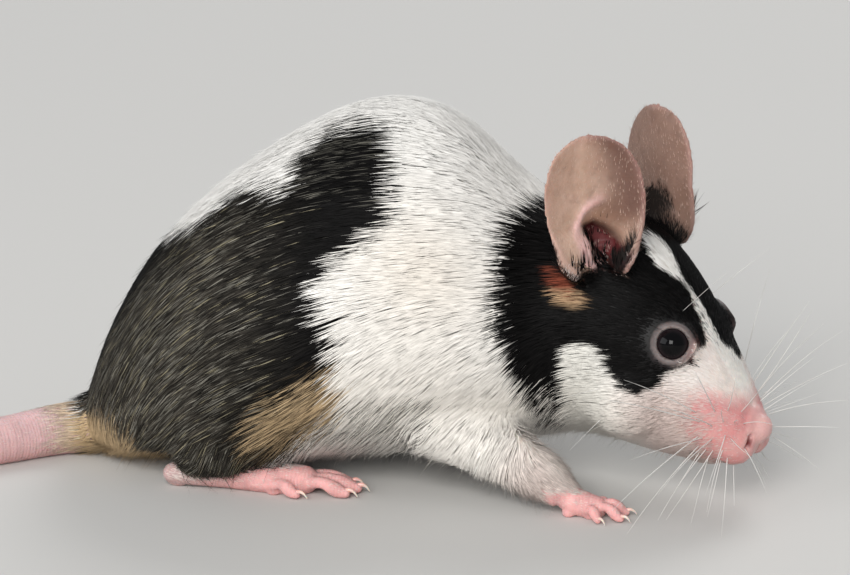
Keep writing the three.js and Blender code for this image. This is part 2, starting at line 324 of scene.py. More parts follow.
# a digit's knuckle, its slimmer middle joint and the pad at its tip, as shares of its radius
digitRadii = (1.0, 1.02, 0.98, 0.82, 0.9, 0.78, 0.86, 1.04, 0.98, 0.7)
forearm = {
    "places": ((0.35, 0.2), (0.6, 0.6), (0.8, 0.65), (1.0, 0.15)),  # share from elbow to wrist, and rise
    "radii": [2.9, 2.75, 2.5, 2.2, 1.85, 1.35],
}


def setFoot(points, place):
    # a foot modelled along +X from the origin, turned and set down where it stands
    x, y, heading = place
    points = np.asarray(points, float)
    ahead, aside = rotated(points[..., 0], points[..., 1], math.radians(heading))
    return np.stack([x + ahead, y + aside, points[..., 2] - floorPress], -1) + spine["shift"]


def digitAhead(toe):
    x, y, *_, turn = toe
    alongX, alongY = rotated(1.0, 0.0, math.radians(turn))
    return lambda ahead, height: (x + ahead * alongX, y + ahead * alongY, height)


def addDigit(name, toe, place):
    z, length, radius = toe[2:5]
    ahead = digitAhead(toe)
    places = [ahead(-1.6, z + 0.2), ahead(0.1, z + 0.15), ahead(length * 0.45, z + 0.42),
              ahead(length * 0.78, radius * 1.15), ahead(length - 0.35, radius * 0.98)]
    path = smoothPath(setFoot(places, place))
    return addLimb(name, path, radiusCurve([radius * k for k in digitRadii]), sides=14, rings=22)


def addPad(name, at, radii, place):
    piece, ball = addBall(name, 14, 9)
    writePoints(piece, setFoot(ball * np.array(radii) + np.array(at), place))
    return piece


def addFoot(name, place, foot):
    sole = smoothPath(setFoot(foot["sole"], place))
    parts = [addLimb(name, sole, radiusCurve(foot["radii"]), foot["sides"], foot["rings"], foot["flat"])]
    parts += [addDigit(f"{name}_toe", toe, place) for toe in foot["toes"]]
    parts += [addPad(f"{name}_pad", at, radii, place) for at, radii in foot["pads"]]
    return parts


def earHalfWidth(v):
    widest = earShape["widest"]
    low = lerp(0.35, 1.0, np.sin(np.clip(v / widest, 0, 1) * math.pi / 2))
    high = np.clip(1 - np.clip((v - widest) / (1 - widest), 0, 1) ** 2.5, 0, 1) ** 0.47
    return np.where(v < widest, low, high) * earShape["halfWidth"]


def earLobe(s, v):
    # low on its rear side the ear swells into a round lobe
    return 1 + (0.12 + 0.28 * bump(v, 0.13, 0.13)) * ease(s, -0.1, 0.8)


def placeEar(points, way):
    # from the ear's own frame, cup opening along +X, to its place on the turned head
    lean, facing, splay = (math.radians(earShape[k]) for k in ("lean", "facing", "splay"))
    facing += math.radians(earShape["leftTurn"]) * (way > 0)
    x, y, z = points[..., 0], points[..., 1], points[..., 2]
    z, x = rotated(z, x, lean)
    x, y = rotated(x, y, facing)
    z, y = rotated(z, y, splay)
    placed = np.stack([x, y, z], -1) + np.array(earShape["base"])
    placed[..., 1] *= way
    return turnSpine(placed)


def earSurface(s, v):
    # s runs across from the front rim to the rear rim, v from the base to the top
    half = earHalfWidth(v)
    wrap = np.radians(lerp(110.0, 30.0, ease(v, 0.0, 0.5)))
    bend = half / np.where(wrap < math.pi / 2, np.sin(wrap), 1.0)
    x = bend * (np.cos(wrap * 0.5) - np.cos(wrap * s)) - earShape["hollowDepth"] * earHollow(s, v)
    wave = 0.12 * np.sin(7.0 * v + 1.3 * s) * ease(v, 0.3, 0.6) * np.abs(s)
    return np.stack([x + wave, bend * np.sin(wrap * s) * earLobe(s, v), v * earShape["height"]], -1)


def earHollow(s, v):
    # the deep hollow over the ear's opening, low in the cup
    top = np.interp(s, (-0.75, -0.5, -0.25, 0.0, 0.25), (0.22, 0.31, 0.37, 0.42, 0.4))
    across = ease(s, -0.82, -0.6) * (1 - ease(s, 0.26, 0.38))
    return ease(v, 0.0, 0.08) * (1 - ease(v, top - 0.06, top + 0.03)) * across


def earShade(s, v):
    # where the hollow is dark red, out to the front rim and low down over the rim itself: partly the skin's
    # own red, partly painted shade in the hollow
    top = np.interp(s, (-0.9, -0.5, -0.25, 0.0, 0.25), (0.22, 0.3, 0.37, 0.43, 0.41))
    front = np.maximum(ease(s, -0.97, -0.75), 1 - ease(v, 0.14, 0.22))
    return (1 - ease(v, top - 0.06, top + 0.03)) * front * (1 - ease(s, 0.25, 0.36))


def earArch(s):
    # the height of the ridge that arches over the hollow
    return np.interp(s, (-0.6, -0.2, 0.0, 0.2, 0.35, 0.5), (0.52, 0.56, 0.54, 0.5, 0.43, 0.36))


def earFold(s, v):
    # how far the inner face stands towards the opening: the arching ridge, the puffed lobe behind
    # the hollow, and two faint ribs up the cup
    ridge = 0.34 * bump(v, earArch(s), 0.04) * ease(s, -0.5, 0.0) * (1 - ease(s, 0.4, 0.7))
    lobe = ease(s, 0.24, 0.42) * (1 - ease(s, 0.5, 1.1)) * (1 - ease(v, 0.26, 0.44))
    ribs = 0.14 * (bump(s, -0.38, 0.09) + bump(s, 0.12, 0.1)) * ease(v, 0.5, 0.6) * (1 - ease(v, 0.72, 0.9))
    return ridge + lobe * ease(v, -0.02, 0.06) + ribs


def addEar(name, way):
    piece, flat = addPrimitive(name, bpy.ops.mesh.primitive_grid_add, x_subdivisions=earShape["columns"],
                               y_subdivisions=earShape["rows"], size=2.0)
    s, v = flat[:, 0], (flat[:, 1] + 1) / 2
    v = lerp(-0.04, 0.9996, 1 - (1 - v) ** 1.35)
    back = earSurface(s, v)
    near = 0.01
    across = earSurface(np.clip(s + near, -1, 1), v) - earSurface(np.clip(s - near, -1, 1), v)
    upward = earSurface(s, v + near) - earSurface(s, v - near)
    inward = unit(np.cross(across, upward))
    thickness = lerp(earShape["thick"], earShape["thin"], ease(v, 0.1, 0.42))
    rim = np.maximum(ease(np.abs(s), 0.7, 1.0) * ease(v, 0.3, 0.5), ease(v, 0.9, 0.99))
    thickness = thickness * lerp(1.0, earShape["thinRim"], rim) + earFold(s, v)
    front = back + inward * thickness[:, None]
    count = len(flat)
    # the inner face is a second sheet, joined to the first round its rim
    faces = [tuple(face.vertices) for face in piece.data.polygons]
    edges = dict.fromkeys((a, b) for face in faces for a, b in zip(face, face[1:] + face[:1]))
    border = [(a, b) for a, b in edges if (b, a) not in edges]
    mesh = bpy.data.meshes.new(name)
    points = np.vstack([placeEar(back, way), placeEar(front, way)]) * mm
    allFaces = faces + [tuple(k + count for k in reversed(face)) for face in faces]
    allFaces += [(b, a, a + count, b + count) for a, b in border]
    mesh.from_pydata(points.tolist(), [], allFaces)
    piece.data = mesh
    faceOutward(piece)
    face = np.concatenate([np.zeros(count), np.ones(count)])  # 1 on the inner face
    return piece, np.concatenate([s, s]), np.concatenate([v, v]), face


def tailRadius(t):
    return lerp(tailShape["root"], tailShape["tip"], t ** tailShape["taper"])


tailLine = smoothPath([(x, y, 0.0) for x, y in tailShape["places"]])


def tailPath(t):
    line = tailLine(t) + spine["shift"]
    line[..., 2] = tailRadius(t) - floorPress
    return line


def eyePlaces():
    at = np.array(eyeShape["at"])
    return [turnSpine(at * np.array([1, way, 1])) for way in (-1, 1)]


def placeEye(points, way):
    # from the eye's own frame, looking along +Z, to its place on the turned head
    placed = points[:, :1] * eyeForward + points[:, 1:2] * eyeUp + points[:, 2:] * eyeAxis
    placed = placed + np.array(eyeShape["at"]) * np.array([1, -1, 1])
    placed[:, 1] *= -way
    return turnSpine(placed)


def addLid(name, way):
    # the rim of the lids is a ring round the ball, opening outwards and a little forwards
    piece, ring = addPrimitive(name, bpy.ops.mesh.primitive_torus_add, major_segments=40, minor_segments=12,
                               major_radius=lidShape["ring"], minor_radius=lidShape["thickness"])
    # the opening is a little longer than high, drawn out into a corner in front
    corner = bump(np.arctan2(ring[:, 1], ring[:, 0]), 0.0, 0.4)
    ring[:, 0] *= 1.0 + 0.16 * corner
    ring[:, 1] *= np.where(ring[:, 1] < 0, 1.06, 0.98)
    ring[:, 2] += lidShape["outward"]
    writePoints(piece, placeEye(ring, way))
    faceOutward(piece)
    return piece


def copyFlesh(node):
    original = bpy.data.objects[node]
    piece = bpy.data.objects.new(f"flesh_{node}", original.data.copy())
    bpy.context.collection.objects.link(piece)
    piece.data.materials.clear()
    makeActive(piece)
    bpy.ops.object.mode_set(mode="EDIT")
    bpy.ops.mesh.select_all(action="SELECT")
    bpy.ops.mesh.remove_doubles(threshold=0.000001)
    bpy.ops.object.mode_set(mode="OBJECT")
    applyModifier(piece, "DISPLACE", strength=skinSettings["swell"] * mm, mid_level=0.0)
    return piece


def addForearm(name, leg):
    # the furred forearm stays thick nearly to the wrist
    x, y, _ = leg["fore"]
    wrist = np.array([x - 0.2, y, 2.2])
    elbow = np.array(leg["elbow"])
    places = [lerp(elbow, wrist, share) + np.array([0, 0, rise]) + spine["shift"]
              for share, rise in forearm["places"]]
    return addLimb(name, smoothPath(places), radiusCurve(forearm["radii"]), 24, 30)


def treeAndBox(points):
    return treeOf(points), (points.min(axis=0), points.max(axis=0))


print("skin: parts")
parts = [copyFlesh(node) for node in fleshNodes]
footData = []
for side, leg in legs.items():
    for kind, foot in feet.items():
        pieces = addFoot(f"{kind}foot_{side}", leg[kind], foot)
        footData.append((*treeAndBox(np.vstack([readPoints(piece) for piece in pieces])), foot["top"]))
        parts += pieces
parts.append(addLimb("tail", tailPath, tailRadius, sides=28, rings=150))
parts += [addForearm(f"forearm_{side}", leg) for side, leg in legs.items()]
parts += [addLid("lid", way) for way in (-1, 1)]
earParts = [addEar(f"ear_{way}", way) for way in (-1, 1)]
earData = [(*treeAndBox(readPoints(piece)), s, v, face) for piece, s, v, face in earParts]
parts += [piece for piece, *_ in earParts]
skin = joinPieces(parts, "skin")
print("skin: one surface")
applyModifier(skin, "REMESH", mode="VOXEL", voxel_size=skinSettings["voxel"] * mm)
print("  vertices", len(skin.data.vertices))

# finding one's way about the skin
# The body is also unrolled: how far along it a point is, and the angle round from the spine, in
# degrees, to the right (-) or to the left (+), about this middle line.
middleLine = ((-2, 3.2), (4.2, 10), (10, 13), (16.6, 16), (22.4, 17.8), (27.8, 18.5), (33, 18),
              (37.2, 16.5), (40.6, 15.5), (44.2, 15.2), (50.8, 14.5), (53.4, 13), (55.9, 11.5),
              (57.9, 10), (59.6, 8.2), (62.5, 7))

tailShares = np.linspace(0, 1, 700)
tailMiddles = tailPath(tailShares)
tailTree = treeOf(tailMiddles)
tailLength = float(np.linalg.norm(np.diff(tailMiddles, axis=0), axis=1).sum())


def limbLines():
    # the middle line of each foreleg and shank with its radii, from the body outwards
    lines = []
    for leg in legs.values():
        elbow = np.array(leg["elbow"]) + spine["shift"]
        x, y, _ = leg["fore"]
        wrist = np.array([x - 0.5, y, 1.9]) + spine["shift"]
        middle = lerp(elbow, wrist, 0.55) + np.array([0, 0, 0.4])
        lines.append((np.array([elbow, middle, wrist]), (4.0, 2.7, 1.3)))
        x, y, _ = leg["hind"]
        hip = np.array([17.0, leg["way"] * 9.0, 5.6])
        line = np.array([hip, [x + 4.5, y, 4.1], [x + 2.4, y, 2.5]]) + spine["shift"]
        lines.append((line, (3.6, 2.8, 1.7)))
    return lines


def alongLine(points, line):
    # distance from a line of a few points, the share of the way along it, and its direction there
    best = np.full(len(points), 1e9)
    share = np.zeros(len(points))
    direction = np.zeros((len(points), 3))
    for k, (a, b) in enumerate(zip(line[:-1], line[1:])):
        step = b - a
        t = np.clip((points - a) @ step / (step @ step), 0, 1)
        away = np.linalg.norm(points - a - t[:, None] * step, axis=1)
        nearer = away < best
        best = np.where(nearer, away, best)
        share = np.where(nearer, (k + t) / (len(line) - 1), share)
        direction[nearer] = step / np.linalg.norm(step)
    return best, share, direction


def nearestIn(tree, points, wanted):
    index = np.zeros(len(points), int)
    away = np.full(len(points), 99.0)
    for i in np.flatnonzero(wanted):
        _, index[i], away[i] = tree.find(points[i])
    return index, away


def within(points, low, high, margin):
    return ((points > np.array(low) - margin) & (points < np.array(high) + margin)).all(axis=1)


def survey(points):
    # what lies at each point: how far along and round the body it is, and how much it belongs to an
    # ear, a foot, the tail or a leg
    q = straighten(points)
    middle = np.interp(q[:, 0], *np.array(middleLine).T)
    turn = np.degrees(np.arctan2(q[:, 1], q[:, 2] - middle))
    place = {"at": points, "straight": q, "along": q[:, 0], "round": turn, "fromSpine": np.abs(turn)}
    count = len(points)
    place["ear"], place["earS"], place["earV"], place["earIn"] = (np.zeros(count) for _ in range(4))
    for tree, (low, high), s, v, face in earData:
        index, away = nearestIn(tree, points, within(points, low, high, 0.9))
        belongs = (1 - ease(away, 0.3, 0.8)) * ease(v[index], 0.0, 0.07)
        mine = (away < 0.9) & (belongs > place["ear"])
        for name, values in (("ear", belongs), ("earS", s[index]), ("earV", v[index]),
                             ("earIn", face[index])):
            place[name] = np.where(mine, values, place[name])
    place["foot"], place["fromFoot"] = np.zeros(count), np.full(count, 99.0)
    for tree, (low, high), top in footData:
        _, away = nearestIn(tree, points, within(points, low, high, 6.0))
        belongs = (1 - ease(away, 0.25, 0.9)) * (1 - ease(points[:, 2], top, 3.0))
        place["foot"] = np.maximum(place["foot"], belongs)
        place["fromFoot"] = np.minimum(place["fromFoot"], away)
    index, away = nearestIn(tailTree, points, (q[:, 0] < 1.5) & (points[:, 2] < 6.5))
    place["tailT"] = np.where(away < 9, tailShares[index], 0.0)
    reach = away - tailRadius(place["tailT"])
    place["tail"] = (1 - ease(reach, 0.15, 0.8)) * ease(place["tailT"], 0.03, 0.06)
    place["leg"], place["legT"], place["legWay"] = np.zeros(count), np.zeros(count), np.zeros((count, 3))
    for line, radii in limbLines():
        away, share, direction = alongLine(points, line)
        outside = away - np.interp(share, (0, 0.5, 1), radii)
        belongs = (1 - ease(outside, 0.0, 1.2)) * ease(share, 0.02, 0.4)
        mine = belongs > place["leg"]
        place["leg"] = np.where(mine, belongs, place["leg"])
        place["legT"] = np.where(mine, share, place["legT"])
        place["legWay"][mine] = direction[mine]
    mirrored = q * np.array([1, 0, 1]) - np.abs(q * np.array([0, 1, 0]))
    fromEye = mirrored - np.array(eyeShape["at"]) * np.array([1, -1, 1])
    place["eyeOut"] = fromEye @ eyeAxis
    aside, above = fromEye @ eyeForward, fromEye @ eyeUp
    place["eyeRound"] = np.where(place["eyeOut"] > -1.5, np.hypot(aside, above), 99.0)
    place["eyeAngle"] = np.degrees(np.arctan2(above, aside))
    place["mirrored"] = mirrored
    # the bare, pinkish pads behind the nose
    place["muzzle"] = np.zeros(count)
    front = q[:, 0] > 52
    inPads = depthInside(q[front, 0], -place["fromSpine"][front], markings["muzzle"])
    place["muzzle"][front] = ease(inPads, -0.9, 1.1)
    place["bare"] = np.maximum.reduce([place["ear"], place["foot"], place["tail"]])
    return place


# the coat's cut: how deep it lies, and how long, wide and close its tufts are
coatCut = {
    # along the body, in mm from the tail root
    "at": (-2, 3, 12, 30, 38, 44, 49, 53, 56, 58.5, 60.5, 62),
    "depth": (0.7, 0.8, 0.85, 0.8, 0.75, 0.65, 0.5, 0.36, 0.26, 0.16, 0.09, 0.04),
    "length": (2.6, 3.6, 4.2, 4.0, 3.7, 3.0, 2.2, 1.5, 1.05, 0.75, 0.5, 0.3),
    "width": (0.12, 0.13, 0.135, 0.135, 0.13, 0.115, 0.1, 0.085, 0.075, 0.065, 0.055, 0.05),
    "close": (26, 24, 22, 22, 24, 28, 36, 48, 56, 50, 30, 8),  # tufts to the square millimetre
    # and on the legs, by how far from the foot
    "fromFoot": (0.5, 2, 7),
    "leg": {"depth": (0.14, 0.38, 0.75), "length": (0.8, 1.4, 2.6), "width": (0.075, 0.09, 0.115),
            "close": (55, 46, 32)},
}


def coatAt(place, what):
    value = np.interp(place["along"], coatCut["at"], coatCut[what])
    legValue = np.interp(place["fromFoot"], coatCut["fromFoot"], coatCut["leg"][what])
    nearFoot = np.maximum(place["leg"], 1 - ease(place["fromFoot"], 0.5, 5.0))
    value = lerp(value, legValue, nearFoot)
    if what == "depth":
        value = value * (1 - place["bare"]) * ease(place["eyeRound"], 1.9, 3.0)
    if what == "length":
        value = value * lerp(0.35, 1.0, ease(place["eyeRound"], 1.8, 3.6))
    return value


# markings, on the unrolled body: mm along, degrees round
markings = {
    "saddle": ((25.4, -17), (27.6, -19), (28.8, -37), (28.9, -57), (26.8, -65), (23.8, -73),
               (22.6, -84), (24.1, -95), (24.6, -106), (24.6, -118), (23, -132), (17, -146),
               (9, -150), (-3, -150), (-4, 0), (-3, 150), (9, 135), (15, 104), (17.5, 74), (13, 46),
               (9.5, 28), (6, 6), (7.9, -22), (10.5, -33), (14.1, -28), (19.1, -39), (20, -27),
               (22.1, -16)),
    "farSaddle": ((25, 58), (29, 66), (31.5, 82), (30, 102), (26, 112), (22.5, 98), (22, 76)),
    "hood": ((42.6, 2), (39.8, -11), (38.6, -30), (37.9, -47), (37.8, -69), (38.2, -92),
             (40.0, -109), (41.3, -125), (42.3, -146), (44.2, -151), (45.4, -131), (46.0, -119),
             (45.7, -106), (46.1, -92), (48.4, -86), (49.8, -88), (50.4, -100), (51.6, -107),
             (53.5, -104), (54.7, -96), (55.4, -79), (57.0, -53), (57.5, -36), (57.9, -22),
             (58.3, -8), (59.1, 0), (59.4, 15), (58.6, 45), (57.0, 62), (55.3, 82), (53.5, 100),
             (49.0, 108), (46.5, 125), (43.5, 150), (41.5, 135), (39.8, 110), (38.6, 80),
             (38.4, 50), (39.2, 25)),
    "blaze": ((50.4, -9), (51.6, -15), (52.6, -19), (53.9, -14), (54.9, -10), (53.9, -5.5),
              (52.6, -1), (51.4, 0)),
    "streak": ((54.8, -8), (55.6, -12), (57.0, -17), (57.6, -26), (59.5, -30), (59.5, -8),
               (57.1, -7), (56.0, -6)),
    "tan": ((24.2, -114), (25.0, -120), (24.0, -129), (20, -133), (16.5, -128), (17.4, -121),
            (20, -117)),
    "tanRoot": ((-4, -78), (-0.7, -88), (1.1, -102), (2.8, -114), (4.4, -127), (7.0, -133),
                (7, -180), (-4, -180)),
    "rust": ((43.2, -48), (45.0, -50), (46.8, -56), (46.6, -62), (45.2, -63), (43.8, -58)),
    "earTuft": ((43.8, -61), (45.0, -60.5), (46.6, -57.5), (48.0, -59), (47.2, -65), (45.0, -65.5)),
    "muzzle": ((56.8, -104), (57.3, -84), (58.6, -62), (60.3, -42), (61.0, -20), (61.2, 0), (64, 0),
               (64, -180), (57.8, -180), (57.2, -135), (56.6, -120)),
}
tones = {
    # cream: the flanks' own tint, and painted shade where it is laid on the underside
    "white": (0.86, 0.84, 0.80), "cream": (0.80, 0.71, 0.60), "black": (0.0038, 0.0035, 0.0035),
    # the grey frost tone serves for the rump's grey hairs and for a painted sheen on the saddle
    "ash": (0.070, 0.062, 0.050), "frostAndSheen": (0.20, 0.19, 0.16), "ticked": (0.27, 0.24, 0.16),
    "tan": (0.55, 0.40, 0.235),
    # cheek: a pinkish grey, partly painted shade, laid low on the cheek and low on the legs
    "rust": (0.23, 0.055, 0.03), "cheek": (0.60, 0.47, 0.43), "greyWhite": (0.58, 0.565, 0.51),
    "muzzleHair": (0.63, 0.39, 0.375), "pinkWhite": (0.80, 0.67, 0.62),
    "skin": (0.70, 0.36, 0.34), "sole": (0.72, 0.37, 0.355), "heel": (0.50, 0.33, 0.315),
    # the nostril tone is painted shade in the nostril's opening
    "nostril": (0.16, 0.022, 0.022), "nose": (0.60, 0.245, 0.24), "tail": (0.62, 0.40, 0.40),
    # the ear's spot tone serves for its spots and for painted shade in the cup
    "ear": (0.40, 0.262, 0.195), "earRim": (0.52, 0.36, 0.285), "earSpotAndShade": (0.13, 0.066, 0.050),
    # the hollow's tone is the skin's dark red with painted shade in it
    "earBrown": (0.24, 0.125, 0.078), "earHollow": (0.10, 0.010, 0.014), "earFold": (0.70, 0.44, 0.42),
    "lid": (0.135, 0.11, 0.107), "lidEdge": (0.014, 0.009, 0.010),
}
tones = {name: np.array(tone) for name, tone in tones.items()}
degreeSize = 0.17  # mm, for how far a point is from the edge of a marking


def depthInside(along, turn, outline):
    # how far inside the outline a point lies, in mm, and less than nothing outside it
    corners = np.array(outline, float) * np.array([1.0, degreeSize])
    x, y = along, turn * degreeSize
    away = np.full(len(x), 1e9)
    inside = np.zeros(len(x), bool)
    for (ax, ay), (bx, by) in zip(corners, np.roll(corners, -1, axis=0)):
        dx, dy = bx - ax, by - ay
        t = np.clip(((x - ax) * dx + (y - ay) * dy) / (dx * dx + dy * dy), 0, 1)
        away = np.minimum(away, np.hypot(x - ax - t * dx, y - ay - t * dy))
        crosses = (ay > y) != (by > y)
        inside ^= crosses & (x < ax + (y - ay) * dx / (dy if dy else 1e-9))
    return np.where(inside, away, -away)


def ripple(points, scale, seed):
    # a smooth, repeatable unevenness between about -1 and 1
    turn = np.random.default_rng(seed)
    total = np.zeros(len(points))
    for k in range(6):
        way = unit(turn.normal(size=3)) * (0.6 + 0.35 * k) / scale
        total += np.sin(points @ way * 2 * math.pi + turn.uniform(0, 6.28)) / (1 + 0.35 * k)
    return total / 2.6


def mixTones(base, *layers):
    # tones laid over one another, each by its share
    for tone, share in layers:
        base = lerp(base, tones[tone], share[:, None])
    return base


def coatTone(place, chance):
    # the coat's colour at each point; chance shifts the edges and picks the odd hairs
    at, along, turn, fromSpine = place["at"], place["along"], place["round"], place["fromSpine"]
    swayed = along + (0.45 * ripple(at, 2.6, 3) + 0.3 * ripple(at, 1.0, 4)) * 0.5
    scatter = (chance[:, 0] - 0.5) * np.interp(along, (0, 36, 42, 50, 60), (2.0, 2.0, 1.0, 0.55, 0.35))

    def inside(name, soft=0.12, angle=turn):
        return ease(depthInside(swayed, angle, markings[name]) + scatter, -soft, soft)

    # white, with a creamy tint of its own on the flanks, cream below as painted shade on the underside, and
    # pinkish about the nose
    creamAndShade = bump(along, 32, 6) * bump(fromSpine, 72, 26) * 0.55 + 0.35 * bump(fromSpine, 125, 25)
    # painted shade: low on each leg, towards the foot, the coat turns to the cheek's pinkish grey
    wrist = place["leg"] * (1 - ease(place["fromFoot"], 0.5, 6.0))
    tone = mixTones(
        np.tile(tones["white"], (len(along), 1)),
        ("cream", np.clip(creamAndShade, 0, 0.8)),
        ("pinkWhite", ease(along, 52, 57) * (fromSpine > 20) * 0.45),
        ("muzzleHair", 0.85 * place["muzzle"]),
        ("greyWhite", bump(along, 48, 3.5) * ease(fromSpine, 66, 82) * 0.7),
        # the lower cheek in pinkish grey: partly its own colour, partly painted shade under the head
        ("cheek", ease(along, 50, 55) * ease(fromSpine, 65, 115) * 0.85),
        # painted shade low on the legs, in the same pinkish grey
        ("cheek", wrist * 0.7))
    # towards the rump and low on the haunch the black turns ashy, with greyer and yellowish hairs in it
    rump = (1 - ease(along, 10, 24)) * ease(fromSpine, 12, 60)
    streak = np.clip(0.6 + 0.6 * ripple(at * np.array([0.35, 1, 1]), 0.9, 9), 0, 1.2)
    # painted sheen: pale grey hairs along the top of the saddle, partly the coat's own pale hairs, partly
    # standing in for its highlight
    sheen = bump(along, 24, 6) * bump(turn, -28, 16)
    dark = mixTones(
        np.tile(tones["black"], (len(along), 1)),
        ("ash", np.clip(rump * streak * lerp(0.5, 1.1, chance[:, 2]), 0, 1)),
        ("frostAndSheen", (chance[:, 1] > 1 - 0.16 * rump) * 0.75),
        ("frostAndSheen", (chance[:, 1] > 1 - 0.3 * sheen) * 0.35),
        ("ticked", (chance[:, 1] < 0.05 * rump) * 0.85))
    throat = ease(fromSpine, 108, 140) * (along > 37) * (along < 48)
    cover = np.maximum(inside("saddle"), inside("farSaddle"))
    hood = inside("hood") * np.where(chance[:, 2] < throat * 0.6, 0.25, 1.0)
    # the blaze is a wedge between the ears, then thin and streaky down to the nose
    hood = hood * (1 - inside("blaze", 0.05))
    hood = hood * (1 - inside("streak", 0.05) * np.where(chance[:, 2] < 0.75, 1.0, 0.2))
    cover = np.maximum(cover, hood)
    cover = np.where((place["leg"] > 0.5) & (along > 24), 0.0, cover)
    tone = lerp(tone, dark, cover[:, None])
    # tan on the haunch and at the tail root, ashy hairs under the flank, partly dark hair tips and partly
    # painted shade under the belly, rust and tan under the ear
    tanning = inside("tan", 0.7) * np.where(chance[:, 2] < 0.78, 0.95, 0.3)
    tanning = np.maximum(tanning, inside("tanRoot", 0.4, -fromSpine))
    # painted shade, with the belly's own dark tips: a share of ashy hairs low under the belly
    fringe = (fromSpine > 122) * (along > 23) * (along < 33) * (chance[:, 2] < 0.3)
    inRust = depthInside(along, -fromSpine, markings["rust"])
    inTuft = depthInside(along, -fromSpine, markings["earTuft"])
    return mixTones(
        tone,
        ("tan", np.clip(tanning * (0.75 + 0.5 * chance[:, 1]), 0, 1)),
        ("ash", fringe * 0.8),
        ("rust", ease(inRust, -0.7, 0.5) * 0.85 * (turn < 0) * (chance[:, 2] < 0.85)),
        ("tan", ease(inTuft, -0.7, 0.4) * 0.8 * (chance[:, 2] < 0.8)),
        ("rust", ease(inTuft, -0.7, 0.4) * 0.25))


def earBaseHair(place):
    # the head's own hair climbs the back of each ear, further on its rear side
    s, v = place["earS"], place["earV"]
    top = np.interp(s, (-1, -0.75, -0.5, -0.2, 0.1, 1), (0.05, 0.18, 0.38, 0.46, 0.42, 0.3))
    behind = (1 - ease(v, top - 0.12, top + 0.05)) * (place["earIn"] < 0.5)
    top = np.interp(s, (-1, -0.8, -0.55, -0.45), (0.19, 0.15, 0.03, -0.05))
    before = (1 - ease(v, top - 0.05, top + 0.06)) * (place["earIn"] > 0.5) * (s < -0.4)
    return np.maximum(behind, before) * (place["ear"] > 0.3)


def earTone(place):
    # brownish cup, darker towards its front rim as painted shade, dark red hollow with painted shade in it,
    # pale folds and rim
    at, s, v, inner = place["at"], place["earS"], place["earV"], place["earIn"] > 0.5
    mottle = np.clip(0.5 + 0.9 * ripple(at, 2.6, 31) + 0.4 * ripple(at, 0.9, 32), 0, 1)
    spots = ease(ripple(at, 1.1, 33) + 0.5 * ripple(at, 3.5, 34), 0.35, 0.9)
    rim = np.clip(ease(np.abs(s), 0.86, 1.0) + ease(v, 0.94, 1.0), 0, 1)
    ridge = bump(v, earArch(s), 0.035) * ease(s, -0.4, 0.1) * (1 - ease(s, 0.4, 0.6))
    lobe = bump(s, 0.4, 0.12) * (1 - ease(v, 0.28, 0.44))
    return mixTones(
        np.tile(tones["ear"], (len(at), 1)),
        ("earRim", mottle * 0.5),
        ("earSpotAndShade", spots * 0.3),
        ("earBrown", inner * bump(v, 0.44, 0.12) * (1 - ease(s, 0.1, 0.4)) * 0.75),
        # painted shade: the cup darkened towards its front rim
        ("earSpotAndShade", inner * ease(-s, -0.15, 0.75) * ease(v, 0.25, 0.5) * 0.95),
        ("earSpotAndShade", (~inner) * 0.7),
        ("earFold", rim * 0.22),
        ("earFold", inner * ridge * 0.8),
        ("earFold", inner * lobe * 0.9),
        # the hollow: the skin's own dark red, deepened as painted shade
        ("earHollow", inner * earShade(s, v) * 0.96),
        ("rust", inner * (1 - ease(v, 0.0, 0.1)) * (s < 0.1) * 0.5),
        ("rust", (~inner) * (1 - ease(v, 0.08, 0.3)) * ease(s, -0.2, 0.4) * 0.8))


def skinTone(place):
    # under the coat the skin has its markings; where it is bare it has its own colours
    at, along, muzzle, count = place["at"], place["along"], place["muzzle"], len(place["at"])
    # painted shade: the nostril's opening is coloured dark red, as the shade inside it
    fromNostril = (place["mirrored"] - np.array([61.75, -2.05, 6.6])) * np.array([1, 1, 0.6])
    tone = mixTones(
        coatTone(place, np.full((count, 3), 0.5)) * np.array([0.97, 0.93, 0.9]),
        ("nose", muzzle * np.clip(0.8 + 0.25 * ripple(at, 1.4, 21), 0, 1)),
        ("pinkWhite", muzzle * ease(along, 61.2, 62.6) * 0.3),
        ("nostril", 1 - ease(np.linalg.norm(fromNostril, axis=1), 0.15, 0.5)))
    tone = lerp(tone, earTone(place), (place["ear"] * (1 - 0.9 * earBaseHair(place)))[:, None])
    foot = np.tile(tones["sole"], (count, 1)) * (1 + 0.12 * ripple(at, 1.5, 41))[:, None]
    foot = mixTones(foot, ("heel", (1 - ease(along, 9, 17)) * (along < 30)))
    tone = lerp(tone, foot, place["foot"][:, None])
    tail = np.tile(tones["tail"], (count, 1)) * (1 + 0.1 * ripple(at, 2.5, 51))[:, None]
    tail = mixTones(tail, ("sole", (1 - ease(at[:, 2], 0.5, 3.0)) * 0.4))
    tone = lerp(tone, tail, place["tail"][:, None])
    # lids: a grey rim, dark at its inner edge and under it, pink at the front corner
    roundEye, angle, inFront = place["eyeRound"], place["eyeAngle"], place["eyeOut"] > 0
    rim = (1 - ease(roundEye, 1.82, 2.02)) * ease(place["eyeOut"], 0.3, 0.7)
    tone = mixTones(tone, ("lid", rim * 0.95)) * (1 - 0.35 * rim * bump(angle, 0, 55))[:, None]
    under = bump(roundEye, 2.12, 0.15) * ease(-np.abs(angle + 95), -75, -40) * inFront
    corner = bump(np.abs(angle + 20), 0, 30) * bump(roundEye, 2.0, 0.4) * inFront
    tone = mixTones(
        tone,
        ("pinkWhite", bump(roundEye, 1.5, 0.09) * rim * 0.12),
        ("lidEdge", (1 - ease(roundEye, 1.2, 1.32)) * inFront),
        ("lidEdge", under * 0.85),
        ("skin", corner * np.where(place["straight"][:, 1] < 0, 0.3, 0.05)))
    return np.clip(tone, 0, 1)


